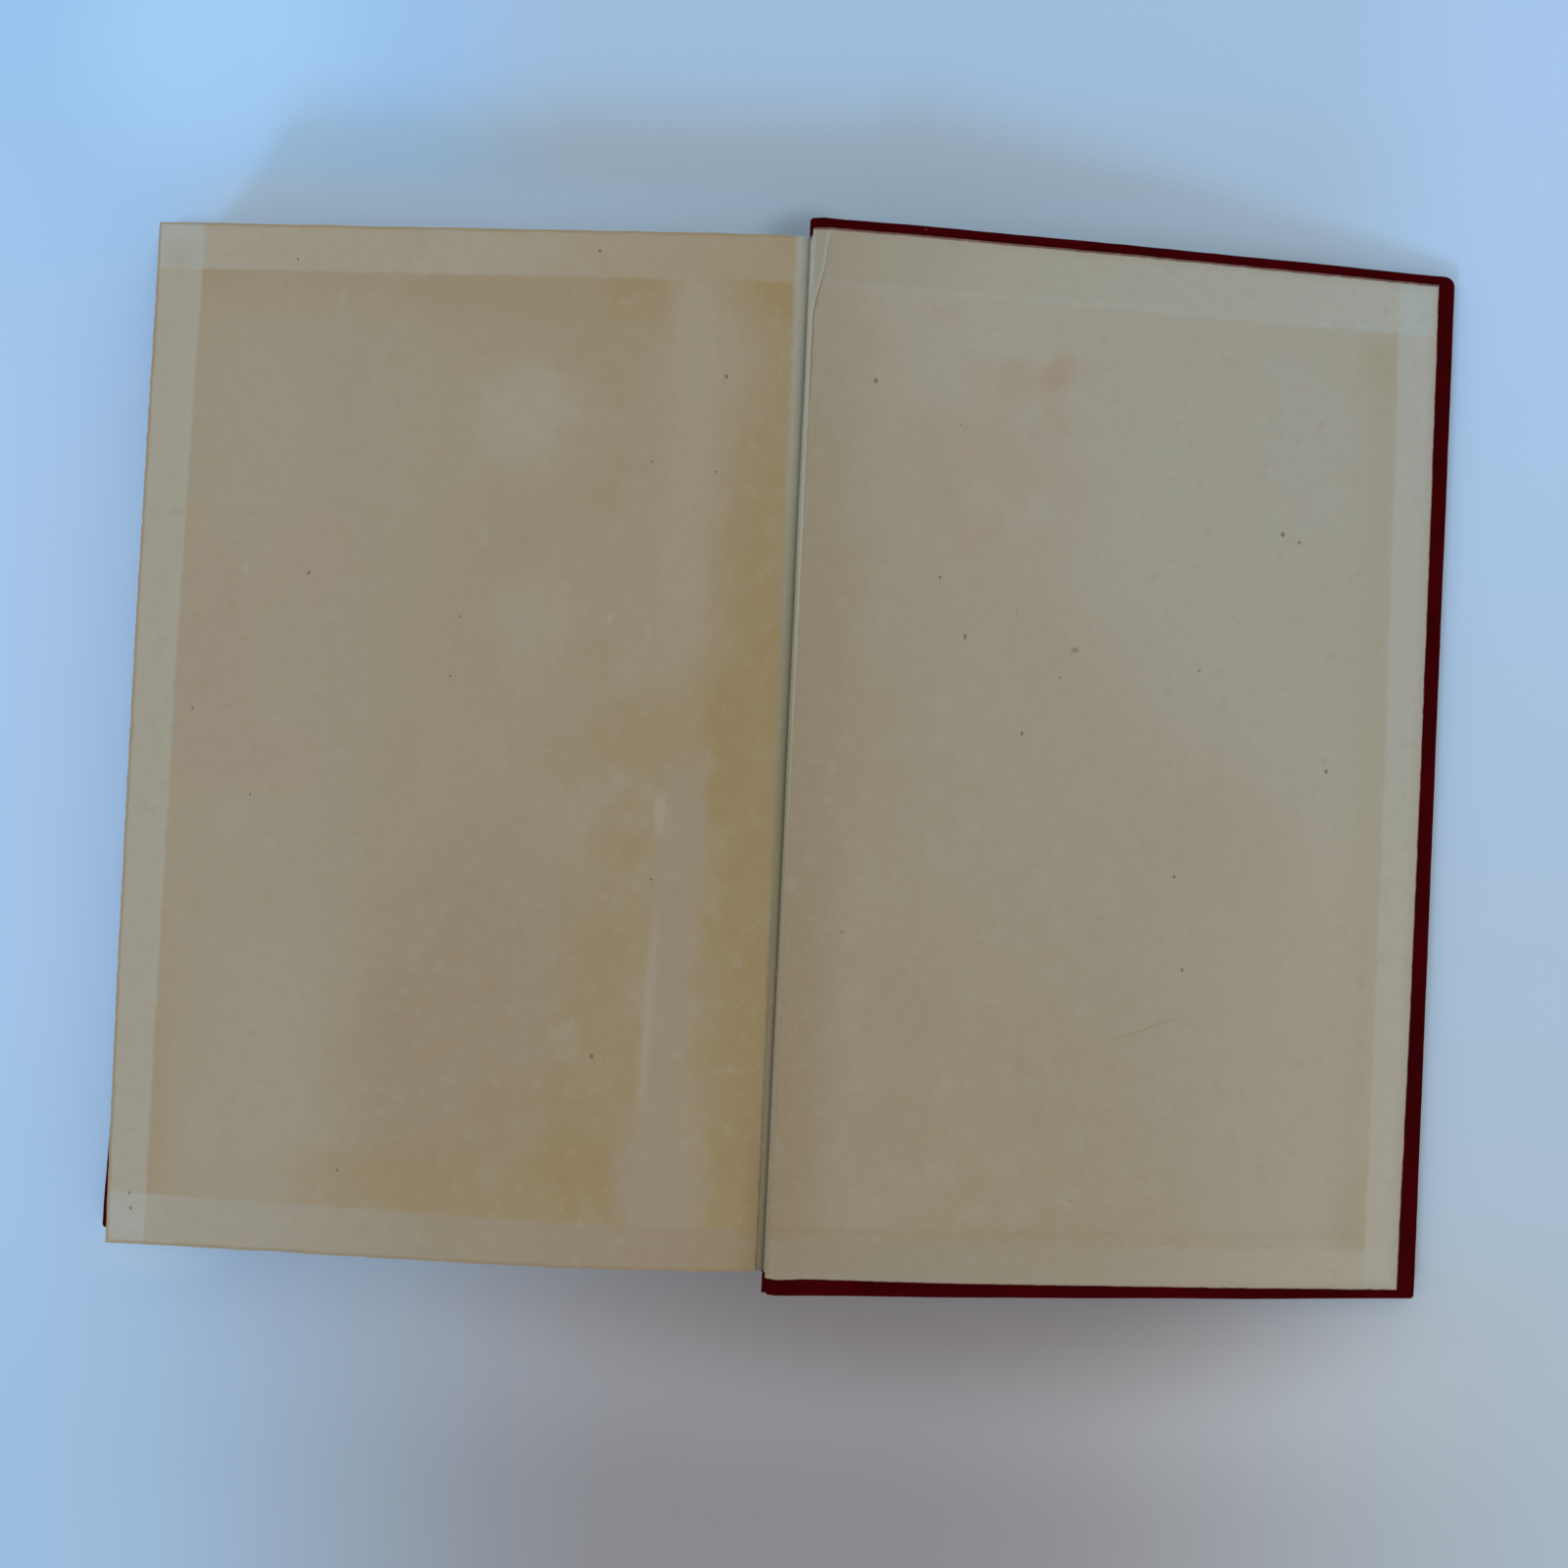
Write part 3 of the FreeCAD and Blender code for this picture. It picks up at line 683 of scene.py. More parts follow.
def plain_paper_paint(name, base, toned, seed):
    """Endpaper that the covers keep from the light: an even tone with brown blotches and dirty edges."""
    paint = Paint(name)
    blotch = paint.rising(paint.noise(24.0, seed, detail=4, roughness=0.6), 0.42, 0.68)
    colour = paint.mix(paint.times(blotch, 0.7), base, toned)
    foxing = paint.specks(15.0, seed + 1, 0.05, 0.5)
    colour = paint.wash(colour, foxing, 0.4, srgb(128, 104, 68))
    colour = dirty_edges(paint, colour, paint.x, paint.y, COVER_HEIGHT)
    return finish_paper(paint, colour, seed + 2)


def cad_paper_paint(name, base, toned, grain_size, seed):
    """Paper or card on a piece that keeps its own shape."""
    paint = Paint(name, mapped=False)
    blotch = paint.rising(paint.noise(18.0, seed, detail=4), 0.4, 0.7)
    colour = paint.mix(blotch, base, toned)
    grain = paint.noise(grain_size, seed + 1, detail=4, roughness=0.65)
    colour = paint.wash(colour, grain, 0.3, srgb(90, 78, 60))
    return paint.finish(colour, 0.9, grain, 0.08, specular=0.2)


def gauze_paint():
    """Open cotton gauze stiff with glue."""
    paint = Paint("mull_gauze", mapped=False)
    pitch = 1.1
    warp = paint.calc("SINE", paint.times(paint.y, math.tau / pitch))
    weft = paint.calc("SINE", paint.times(paint.calc("ADD", paint.z, paint.x), math.tau / pitch))
    thread = paint.rising(paint.calc("MAXIMUM", warp, weft), 0.3, 0.9)
    colour = paint.mix(thread, srgb(120, 104, 74), srgb(176, 166, 138))
    return paint.finish(colour, 0.85, thread, 0.12, specular=0.25)


CLOTH_RED = srgb(49, 0, 3)
CLOTH_LIGHT = srgb(62, 0, 4)
CLOTH_DARK = srgb(34, 0, 2)
CLOTH_WORN = srgb(126, 78, 74)


def cloth_paint(name, seed):
    """Dark red book cloth, rubbed along its edges down to the pale threads."""
    paint = Paint(name)
    weave = woven(paint, 0.52, seed)
    thread_noise = paint.noise(0.35, seed + 1, detail=2)
    patchy = paint.noise(14.0, seed + 2, detail=4, roughness=0.6)
    colour = paint.mix(paint.rising(patchy, 0.35, 0.7), CLOTH_RED, CLOTH_LIGHT)
    gaps = paint.falling(weave, 0.1, 0.55)
    colour = paint.wash(colour, gaps, 0.45, CLOTH_DARK)
    edge = paint.add("ShaderNodeAttribute", attribute_name="wear", attribute_type="GEOMETRY").outputs["Fac"]
    rough_noise = paint.noise(1.6, seed + 3, detail=5, roughness=0.7)
    long_noise = paint.noise(11.0, seed + 4, detail=2)
    rub = paint.calc("ADD", paint.times(rough_noise, 0.7), paint.times(long_noise, 0.5))
    rubbed = paint.rising(paint.times(rub, edge), 0.68, 0.84)
    raised = paint.calc("MULTIPLY_ADD", weave, 0.6, 0.4)
    colour = paint.wash(colour, rubbed, raised, CLOTH_WORN)
    polish = paint.times(edge, 0.25)
    colour = paint.mix(polish, colour, CLOTH_LIGHT)
    dust = paint.specks(3.5, seed + 5, 0.05, 0.25)
    colour = paint.wash(colour, dust, 0.35, srgb(150, 130, 120))
    height = paint.total([(0.7, weave), (0.3, thread_noise)])
    roughness = paint.calc("MULTIPLY_ADD", patchy, 0.15, 0.6)
    return paint.finish(colour, roughness, height, 0.05, specular=0.012)


LEAF_PITCH = BLOCK_THICKNESS / LEAF_COUNT


def leaf_edges_paint():
    """The cut edges of the leaves: fine lines, each leaf a little different, browner at the outside."""
    paint = Paint("leaf_edges")
    leaf = paint.calc("FLOOR", paint.calc("DIVIDE", paint.y, LEAF_PITCH))
    spot = paint.add("ShaderNodeCombineXYZ", {0: paint.calc("DIVIDE", paint.x, 30.0), 1: leaf}).outputs[0]
    each = paint.noise(1.0, 91.0, detail=1, place=spot)
    colour = paint.mix(paint.rising(each, 0.3, 0.7), srgb(156, 144, 116), srgb(176, 166, 140))
    within = paint.calc("FRACT", paint.calc("DIVIDE", paint.y, LEAF_PITCH))
    gap = paint.calc("ABSOLUTE", paint.minus(within, 0.5))
    colour = paint.wash(colour, paint.rising(gap, 0.32, 0.5), 0.5, srgb(112, 94, 64))
    stretched = paint.add("ShaderNodeCombineXYZ", {0: paint.times(paint.x, 0.25), 1: paint.y}).outputs[0]
    streak = paint.noise(1.3, 93.0, detail=4, roughness=0.7, place=stretched)
    colour = paint.wash(colour, paint.rising(streak, 0.45, 0.8), 0.4, srgb(134, 112, 76))
    toned = paint.noise(22.0, 94.0, detail=3)
    colour = paint.wash(colour, paint.rising(toned, 0.4, 0.7), 0.45, srgb(146, 126, 92))
    ends = paint.calc("MINIMUM", paint.y, paint.minus(BLOCK_THICKNESS, paint.y))
    colour = paint.wash(colour, paint.falling(ends, 0.2, 2.2), 0.5, srgb(132, 110, 76))
    return paint.finish(colour, 0.88, streak, 0.04, specular=0.2)


# Pieces of paper


def dip_width(y):
    share = (np.asarray(y) + HALF_LEAF) / LEAF_HEIGHT
    return DIP_WIDTH_TAIL + (DIP_WIDTH_HEAD - DIP_WIDTH_TAIL) * np.clip(share, 0, 1)


def dip_drop(x, y):
    """How far the top of the block has bent down at x, along an arc into the gutter."""
    width = dip_width(y)
    return DIP_DEPTH * np.clip((x + width) / width, 0, 1.3) ** DIP_POWER


def leaf_top_points(x, y):
    """The upper face of the top leaf: cockled, curled a little at its edges, bent into the gutter."""
    across = -x / LEAF_WIDTH
    from_edge = np.minimum(x + LEAF_WIDTH, HALF_LEAF - np.abs(y))
    lift = 0.05 * ripple(x, y, 60, 1) + 0.03 * ripple(x, y, 25, 2)
    curl = 0.08 * smoothstep(-from_edge, -7, 0) * (1 + 0.5 * ripple(x, y, 45, 3))
    cockle = np.clip(lift + np.clip(curl, 0, 1), -0.1, 0.16)
    z = LEAF_TOP + 0.05 + cockle * smoothstep(-x, 2, 8) - dip_drop(x, y)
    nick = 0.05 * ripple(x + 3 * y, y * 0, 7, 4) + 0.03 * ripple(y * 0, y, 2.3, 5)
    edge_x = x - fore_bow(y) * across**2 + nick * smoothstep(-(x + LEAF_WIDTH), -1.5, 0)
    ragged = 0.05 * ripple(x, y * 0, 9, 6) * smoothstep(np.abs(y), HALF_LEAF - 1.5, HALF_LEAF)
    return book_points(edge_x, leaf_outline_y(x, y) + ragged, z)


def leaf_outline_y(x, y):
    """A leaf's y after the trim, which is skewed and leaves head and tail a little crowned."""
    across = np.clip(1 + x / LEAF_WIDTH, 0, 1)
    head = 0.3 + 0.5 * across - 0.3 * smoothstep(across, 0.93, 1)
    tail = 0.9 * np.sin(math.pi * across**1.7)
    share = y / HALF_LEAF
    return y + TRIM_SKEW * x + np.where(y > 0, head, tail) * share


def fore_bow(y):
    """How far the top leaf's fore-edge stands out beside its middle."""
    share = (y + 12) / HALF_LEAF
    return 0.55 * np.clip(1 - share**2, 0, 1)


def skirt(rim_points, rim_map, drop):
    """A strip down from a closed rim of points."""
    lower = rim_points + np.array(drop)
    return Surface(np.stack([rim_points, lower]), np.stack([rim_map, rim_map]))


def rim_of(grid):
    """The border of a grid as one closed row."""
    return np.concatenate([grid[0], grid[1:, -1], grid[-1, -2::-1], grid[-2::-1, 0]])


def make_top_leaf():
    """The back flyleaf: a slightly cockled sheet on the block that bends into the gutter."""
    columns = spaced((-LEAF_WIDTH, -117, 0.35), (-117, -8, 1.3), (-8, -3, 0.5), (-3, 0, 0.12))
    rows = spaced((-HALF_LEAF, -91, 0.4), (-91, 91, 1.3), (91, HALF_LEAF, 0.4))
    x, y = np.meshgrid(columns, rows)
    top = leaf_top_points(x, y)
    mapping = np.stack([x + LEAF_WIDTH, y + HALF_LEAF], -1)
    rim = skirt(rim_of(top), rim_of(mapping), (0, 0, -SHEET))
    piece = build_piece("top_leaf", [Surface(top, mapping), rim], leaf_paint())
    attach(piece, "text_block")
    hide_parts("back_flyleaf")


def make_leaf_block():
    """All the other leaves, with a fine step for each leaf round the open edges."""
    random = np.random.default_rng(21)
    x_share = spaced((0, 0.93, 0.045), (0.93, 1, 0.007))
    y_share = spaced((-1, 1, 0.045))
    levels = np.arange(2 * LEAF_COUNT + 1) / 2 * LEAF_PITCH
    leaf_of = np.minimum(levels // LEAF_PITCH, LEAF_COUNT - 1).astype(int)
    gathering_of = leaf_of // GATHERING_LEAVES
    groove = np.where(np.arange(len(levels)) % 2 == 0, 0.05, 0.0)
    groove[::2 * GATHERING_LEAVES] = 0.14
    per_leaf = random.normal(0, 0.035, LEAF_COUNT)
    per_gathering = random.normal(0, 0.06, LEAF_COUNT // GATHERING_LEAVES + 1)
    inset = 0.08 + groove + per_leaf[leaf_of] + per_gathering[gathering_of]
    inset_head = 0.05 + groove + random.normal(0, 0.03, LEAF_COUNT)[leaf_of]

    def place(xs, ys, level, fore_inset, end_inset):
        """Points at shares of the leaf's width and height, at a level above the block's bottom."""
        z = BLOCK_BOTTOM + level
        x = BLOCK_ARC.x_at(z) - LEAF_WIDTH * (1 - xs) + fore_inset * (1 - xs)
        y = ys * (HALF_LEAF - end_inset)
        from_spine = x - BLOCK_ARC.x_at(z)
        bend = (dip_drop(from_spine, y) + 0.1) * smoothstep(z, BLOCK_TOP - DIP_REACH, BLOCK_TOP)
        bow = fore_bow(y) * (1 - xs) ** 2 * smoothstep(z, BLOCK_TOP - 3, BLOCK_TOP)
        return book_points(x - bow, leaf_outline_y(x, y), z - bend)

    def side(xs, ys, lengthwise):
        xs, level = np.meshgrid(xs, levels)
        ys = np.broadcast_to(ys, xs.shape)
        wave = 0.03 * ripple(lengthwise, level * 40, 18, 22)
        points = place(xs, ys, level, inset[:, None] + wave, inset_head[:, None] + wave)
        return Surface(points, (lengthwise + 0 * level, level))

    ones_x, ones_y = np.ones_like(x_share), np.ones_like(y_share)
    tail = side(x_share, -ones_x, x_share * LEAF_WIDTH)
    head = side(x_share, ones_x, x_share * LEAF_WIDTH + 400)
    fore = side(0 * ones_y, y_share, y_share * HALF_LEAF + 200)
    spine = side(ones_y, y_share, y_share * HALF_LEAF + 700)
    caps = []
    for row in (0, -1):
        xs, ys = np.meshgrid(x_share, y_share)
        wave = 0.03 * ripple(xs * LEAF_WIDTH, levels[row] * 40, 18, 22)
        cap = place(xs, ys, levels[row], inset[row] + wave, inset_head[row] + wave)
        caps.append(Surface(cap, (xs * LEAF_WIDTH, ys * HALF_LEAF)))
    surfaces = [tail, head, fore, spine, *caps]
    piece = build_piece("leaf_block", surfaces, leaf_edges_paint(), sharp=60, weld=0.012)
    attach(piece, "text_block")
    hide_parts("pages")


def crease_u(y):
    """Where the pastedown's crease runs: from the board's edge at the head in towards the hinge."""
    from_head = HALF_COVER - y
    flare = CREASE_FLARE * (1 - smoothstep(from_head, *CREASE_FLARE_TURN))
    return CREASE_HEAD_U - (CREASE_HEAD_U - CREASE_TAIL_U) * smoothstep(from_head, *CREASE_TURN) + flare


def make_pastedown(name, node, body, cover_points, material, seed, creased):
    """Endpaper glued over board, gauze and turn-ins, whose edges show through it as soft steps."""
    columns = spaced((PAPER_START, 5.4, 0.14), (5.4, 23, 1.2), (23, 27, 0.5))
    columns = np.append(columns[:-1], spaced((27, 112, 1.9), (112, 118, 0.35)))
    columns = np.append(columns, spaced((118.4, COVER_WIDTH - PASTE_MARGINS["fore"], 0.4)))
    tail, head = -HALF_COVER + PASTE_MARGINS["tail"], HALF_COVER - PASTE_MARGINS["head"]
    rows = spaced((tail, -86, 0.5), (-86, 84, 1.3), (84, head, 0.4))
    u, y = np.meshgrid(columns, rows)
    frayed = 0.035 * ripple(u * 0, y, 9, seed + 3) + 0.03 * ripple(u * 0, y, 2.4, seed + 4)
    bulge = 0.5 * (1 - (y / HALF_COVER) ** 2) - 0.15 * (1 - y / HALF_COVER)
    fore = columns[-1]
    u_out = u + frayed * smoothstep(u, fore - 1.2, fore) + bulge * smoothstep(u, 70, fore)
    end_fray = 0.03 * ripple(u, y * 0, 11, seed + 5) + 0.025 * ripple(u, y * 0, 2.8, seed + 6)
    low = 0.5 - y / COVER_HEIGHT
    skew = (1.45 * (np.clip(u, 0, None) / 120) ** 0.8 + 0.45 * (1 - smoothstep(u, 0, 9))) * low
    y_out = y - skew + end_fray * smoothstep(np.abs(y), HALF_COVER - 5, HALF_COVER - 3)
    fold_u, fold_y = COVER_WIDTH - TURN_IN, HALF_COVER - TURN_IN
    over_fold = np.maximum(
        smoothstep(u_out, fold_u - 0.9, fold_u + 0.3),
        smoothstep(np.abs(y_out), fold_y - 1.1, fold_y - 0.1))
    over_flap = smoothstep(-u_out, *MULL_FLAP_EDGE) * smoothstep(-np.abs(y_out), *MULL_FLAP_END)
    depth = 0.26 - 0.10 * over_flap
    depth = depth + (0.02 - depth) * over_fold
    joint = smoothstep(-u, -JOINT_WIDTH - 0.5, -JOINT_WIDTH + 0.4)
    depth = depth + 0.05 * joint * (1 - smoothstep(-u, -1.2, -0.6)) * smoothstep(-np.abs(y), -93, -80)
    ridges = 0.022 * np.sin((u + 0.25 * ripple(u * 0, y, 60, seed)) * math.tau / 0.85) * joint
    depth = depth - ridges * smoothstep(u, 0.7, 1.1)
    if creased:
        offset = u - crease_u(y)
        from_head = HALF_COVER - y
        strength = 0.6 + 0.4 * smoothstep(from_head, 6, 14) - 0.65 * smoothstep(from_head, 20, 70)
        ridge = np.exp(-(((offset + 0.1) / 0.2) ** 2)) - 0.5 * np.exp(-(((offset - 0.3) / 0.2) ** 2))
        depth = depth - 0.16 * strength * ridge
        flap = smoothstep(-offset, 0.0, 0.6) * smoothstep(y, HALF_COVER - 16, HALF_COVER - 4)
        depth = depth + 0.07 * flap
    depth = depth - 0.03 * ripple(u, y, 55, seed + 1) - 0.012 * ripple(u, y, 11, seed + 2)
    depth = depth + 0.22 * (1 - smoothstep(u, PAPER_START, 0.42)) ** 2
    top = cover_points(u_out, y_out, depth)
    mapping = np.stack([u, y + HALF_COVER], -1)
    bottom = rim_of(cover_points(u_out, y_out, np.full_like(u, FLOOR_DEPTH)))
    rim = Surface(np.stack([rim_of(top), bottom]), np.stack([rim_of(mapping)] * 2))
    piece = build_piece(name, [Surface(top, mapping), rim], material)
    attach(piece, body)
    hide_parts(node)


# Pieces of cloth


COVER_US = spaced((CLOTH_START, 6, 0.28), (6, 114, 3.0), (114, COVER_WIDTH - CORNER_PATCH, 0.7))
STRAIGHT_END = HALF_COVER - CORNER_PATCH
COVER_YS = spaced((-STRAIGHT_END, -84, 0.8), (-84, 84, 3.0), (84, STRAIGHT_END, 0.8))
CORNER_TURNS = np.linspace(0, math.pi / 2, 8)
HINGE_END_HEAD, HINGE_END_TAIL = 0.55, 0.1  # how far the cloth's ends stand out over the hinge
SPINE_CUT = 0.35  # the back joint's cloth bends away this far before the spine cloth's own end
BOARD_EDGE = (2.3, 3.35)  # the cloth steps down over the board's edge, from the hinge line


def outline(inset, radii):
    """The cover's outline moved in by inset, from the hinge at low y round to the hinge at high y."""
    us = np.minimum(COVER_US, COVER_WIDTH - inset)
    ys = np.clip(COVER_YS, -HALF_COVER + inset, HALF_COVER - inset)
    near = np.stack([us, np.full_like(us, -HALF_COVER + inset)], -1)
    fore = np.stack([np.full_like(ys, COVER_WIDTH - inset), ys], -1)
    corners = []
    for corner_radius in radii:
        reach = max(inset, corner_radius)
        radius = max(corner_radius - inset, 0.0)
        turn_u = COVER_WIDTH - reach + radius * np.sin(CORNER_TURNS)
        turn_y = -HALF_COVER + reach - radius * np.cos(CORNER_TURNS)
        corners.append(np.stack([turn_u, turn_y], -1))
    return np.concatenate([near, corners[0], fore, (corners[1] * (1, -1))[::-1], (near * (1, -1))[::-1]])


def outline_normals():
    tail = np.tile((0.0, -1.0), (len(COVER_US), 1))
    fore = np.tile((1.0, 0.0), (len(COVER_YS), 1))
    corner = np.stack([np.sin(CORNER_TURNS), -np.cos(CORNER_TURNS)], -1)
    return np.concatenate([tail, corner, fore, (corner * (1, -1))[::-1], (tail * (1, -1))[::-1]])


def outer_depth(u):
    """Depth of a cover's outer face: it dips in at the joint beside the spine, where there is no board."""
    return JOINT_DEPTH + (COVER_THICKNESS - JOINT_DEPTH) * smoothstep(u, *BOARD_EDGE)


def make_cover_cloth(name, node, body, cover_points, material, seed, radii):
    """Cloth round a board: turned in, rounded over the edges and mitred at the corners."""
    head_sign = 1 if radii[1] == HEAD_RADIUS else -1
    base = outline(0.0, radii)
    normals = outline_normals()
    bottom = outer_depth(base[:, 0])
    thickness = bottom - TURN_IN_DEPTH
    inner_radius = np.minimum(0.65, thickness * 0.45)
    outer_radius = np.minimum(0.75, thickness * 0.45)
    corner_wear = smoothstep(-np.hypot(COVER_WIDTH - base[:, 0], HALF_COVER - np.abs(base[:, 1])), -9, 0)
    bump = 0.04 * ripple(*base.T, 34, seed) + 0.02 * ripple(*base.T, 6, seed + 1)
    rings = []

    def ring(inset, depth, along, wear):
        """inset may be one number, or one for each station where the edge's rounding varies."""
        if np.ndim(inset):
            flat = base - normals * inset[:, None]
        else:
            flat = outline(inset, radii)
        push = bump * smoothstep(-np.asarray(inset), -1.2, 0)
        flat = flat + normals * np.reshape(push, (-1, 1))
        near_end = smoothstep(head_sign * flat[:, 1], HALF_COVER - 2.15, HALF_COVER - 1.5)
        rounding = 1 - np.sqrt(1 - np.clip((np.abs(flat[:, 1]) - HALF_COVER + 0.8) / 0.8, 0, 1) ** 2)
        stand_out = HINGE_END_TAIL + (HINGE_END_HEAD - HINGE_END_TAIL) * near_end - 0.5 * rounding
        flat[:, 0] -= stand_out * (1 - smoothstep(base[:, 0], 0, 2.4))
        points = cover_points(flat[:, 0], flat[:, 1], depth + 0 * base[:, 0])
        rings.append((points, base + normals * np.reshape(along, (-1, 1)), wear + 0 * base[:, 0]))

    ring(TURN_IN, FLOOR_DEPTH, -TURN_IN - 0.3, 0.0)
    ring(TURN_IN, TURN_IN_DEPTH, -TURN_IN, 0.2)
    ring(6.0, TURN_IN_DEPTH, -6.0, 0.0)
    ring(2.2, TURN_IN_DEPTH, -2.2, 0.1)
    ring(1.5, TURN_IN_DEPTH, -1.5, 0.15)
    for turn in np.linspace(0, 1, 5):
        angle = turn * math.pi / 2
        inset = inner_radius * (1 - math.sin(angle))
        depth = TURN_IN_DEPTH + inner_radius * (1 - math.cos(angle))
        ring(inset, depth, -inner_radius * (1 - turn), 0.35 + 0.6 * math.sin(2 * angle) + 0.3 * corner_wear)
    for turn in np.linspace(0, 1, 6):
        angle = turn * math.pi / 2
        inset = outer_radius * (1 - math.cos(angle))
        depth = bottom - outer_radius * (1 - math.sin(angle))
        wear = 0.35 + 0.75 * math.sin(2 * angle) + 0.4 * corner_wear
        ring(inset, depth, bottom - outer_radius + outer_radius * 1.6 * turn, wear)
    ring(2.5, bottom, bottom + 1.5, 0.15 + 0.4 * corner_wear)
    wrap = Surface(*[np.stack(column) for column in zip(*rings)])

    def field(inset, depth_of, wear):
        us = np.append(np.minimum(COVER_US, COVER_WIDTH - inset), COVER_WIDTH - inset)
        ys = np.concatenate([[-HALF_COVER], COVER_YS, [HALF_COVER]])
        ys = np.clip(ys, -HALF_COVER + inset, HALF_COVER - inset)
        u, y = np.meshgrid(us, ys)
        return Surface(cover_points(u, y, depth_of(u)), np.stack([u, y + 300], -1), wear)

    outside = field(2.5, outer_depth, 0.1)
    inside = field(TURN_IN, lambda u: np.full_like(u, FLOOR_DEPTH), 0.0)
    piece = build_piece(name, [wrap, outside, inside], material, sharp=50)
    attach(piece, body)
    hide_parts(node)


def make_spine_cloth(material):
    """The case's cloth over the spine, folded in at head and tail over its card strip."""
    angles = np.linspace(CLOTH_ARC.start, CLOTH_ARC.end - SPINE_CUT / CLOTH_ARC.radius, 56)
    middle = (CLOTH_ARC.start + CLOTH_ARC.end) / 2
    half_turn = INLAY_WIDTH / 2 / CLOTH_ARC.radius
    on_card = 1 - smoothstep(np.abs(angles - middle), half_turn + 0.02, half_turn + 0.08)
    fold_radius = (INLAY + 2 * CLOTH) / 2
    y_end = HALF_COVER - 0.35
    long_run = spaced((-y_end + 1, y_end - 1, 3.2))
    stations = [(y, CLOTH, 0.25) for y in long_run]
    for turn in np.linspace(-90, 90, 9):
        angle = math.radians(turn)
        lift = CLOTH - fold_radius * (1 + math.sin(angle))
        stations.append((y_end - 1 + 1.2 * math.cos(angle), lift, 0.9))
    inner = -INLAY - CLOTH
    stations += [(y, inner, 0.1) for y in spaced((HALF_COVER - TURN_IN, y_end - 2, 2.0))[::-1]]
    stations += [(HALF_COVER - TURN_IN - 0.1, 0.0, 0.0)]
    half = stations[len(long_run):]
    loop = stations + [(-y, offset, wear) for y, offset, wear in half[::-1]]
    loop.append(loop[0])
    points, mapping, wear = [], [], []
    along = 0.0
    last = loop[0]
    for y, offset, rub in loop:
        along += math.hypot(y - last[0], offset - last[1])
        last = (y, offset)
        low = np.where(on_card > 0.5, offset, max(offset, -CLOTH))
        blended = offset * on_card + max(offset, -CLOTH) * (1 - on_card) if offset < 0 else offset + 0 * low
        x, z = CLOTH_ARC.point(angles, blended)
        dent = 0.08 * ripple(y + 0 * angles, angles * 15, 45, 33)
        x = x + dent * math.cos(middle)
        z = z + dent * math.sin(middle)
        points.append(book_points(x, y, z))
        mapping.append(np.stack([angles * CLOTH_ARC.radius, along + 0 * angles], -1))
        wear.append(rub + 0 * angles)
    grid = Surface(np.stack(points), np.stack(mapping), np.stack(wear))
    piece = build_piece("spine_case", [grid], material, sharp=60)
    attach(piece, "text_block")
    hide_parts("spine_cloth")


def curve_through(points, steps=5):
    """A smooth line through (x, z) points."""
    points = np.array(points, float)
    padded = np.vstack([2 * points[0] - points[1], points, 2 * points[-1] - points[-2]])
    line = []
    for a, b, c, d in zip(padded, padded[1:], padded[2:], padded[3:]):
        for t in np.linspace(0, 1, steps, endpoint=False):
            square, cube = 2 * a - 5 * b + 4 * c - d, 3 * b - a - 3 * c + d
            line.append(0.5 * (2 * b + (c - a) * t + square * t**2 + cube * t**3))
    return np.vstack([line, points[-1]])


def make_strip(name, section_at, thickness, half_height, material, slot, seed):
    """A strip of cloth or paper along the hinge, which bends between the block and a cover."""
    ys = spaced((-half_height, half_height, 2.4))
    rows, mapping = [], []
    for y in ys:
        line = curve_through(section_at(y))
        heading = np.gradient(line, axis=0)
        heading /= np.hypot(heading[:, 0], heading[:, 1])[:, None]
        side = np.stack([-heading[:, 1], heading[:, 0]], -1) * thickness / 2
        section = np.vstack([line + side, (line - side)[::-1], line[:1] + side[:1]])
        run = np.append(0, np.cumsum(np.hypot(*np.diff(section, axis=0).T)))
        sway = 0.02 * ripple(np.array(y), np.array(0.0), 35, seed)
        skewed = leaf_outline_y(np.minimum(section[:, 0], 0), y) if slot == "endpaper" else y
        rows.append(book_points(section[:, 0] + sway, skewed, section[:, 1]))
        mapping.append(np.stack([run, np.full_like(run, y + half_height)], -1))
    wear = 0.35 if slot == "cloth" else 0.0
    strip = Surface(np.stack(rows), np.stack(mapping), wear)
    piece = build_piece(name, [strip], material, sharp=60, weld=0.002)
    ends = np.array(section_at(0.0))[[0, -1]]
    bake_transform(piece)


def flat_back(u, depth):
    x, _, z = back_cover_points(u, 0.0, depth)
    return x, z


def flat_front(u, depth):
    x, _, z = front_cover_points(u, 0.0, depth)
    return x, z


def make_gutter_papers(back_material, front_material):
    """The fold of each endpaper between its flyleaf and its pastedown."""

    def back(y):
        from_leaf = [(x, LEAF_TOP - 0.005 - dip_drop(x, y)) for x in (-0.3, 0.0)]
        wall = [
            (0.42, LEAF_TOP - 0.36), (0.84, LEAF_TOP - 0.66), (0.97, LEAF_TOP - 0.52),
            (1.1, BACK_PIVOT[1] - 0.1),
        ]
        return from_leaf + wall + [flat_back(0.02, 0.34), flat_back(0.5, 0.36)]

    def front(y):
        low = FRONT_PIVOT[1]
        from_leaf = [(-BLOCK_LEAN - 0.6, BLOCK_BOTTOM - 0.08), (-BLOCK_LEAN + 0.4, low + 0.62)]
        return from_leaf + [(FRONT_PIVOT[0] - 0.05, low + 0.1), flat_front(0.4, 0.34),
            flat_front(0.9, 0.36)]

    make_strip("back_gutter_fold", back, SHEET * 0.9, HALF_LEAF - 0.1,
        back_material, "endpaper", 45)
    make_strip("front_gutter_fold", front, SHEET * 0.8, HALF_LEAF - 0.1,
        front_material, "endpaper", 46)


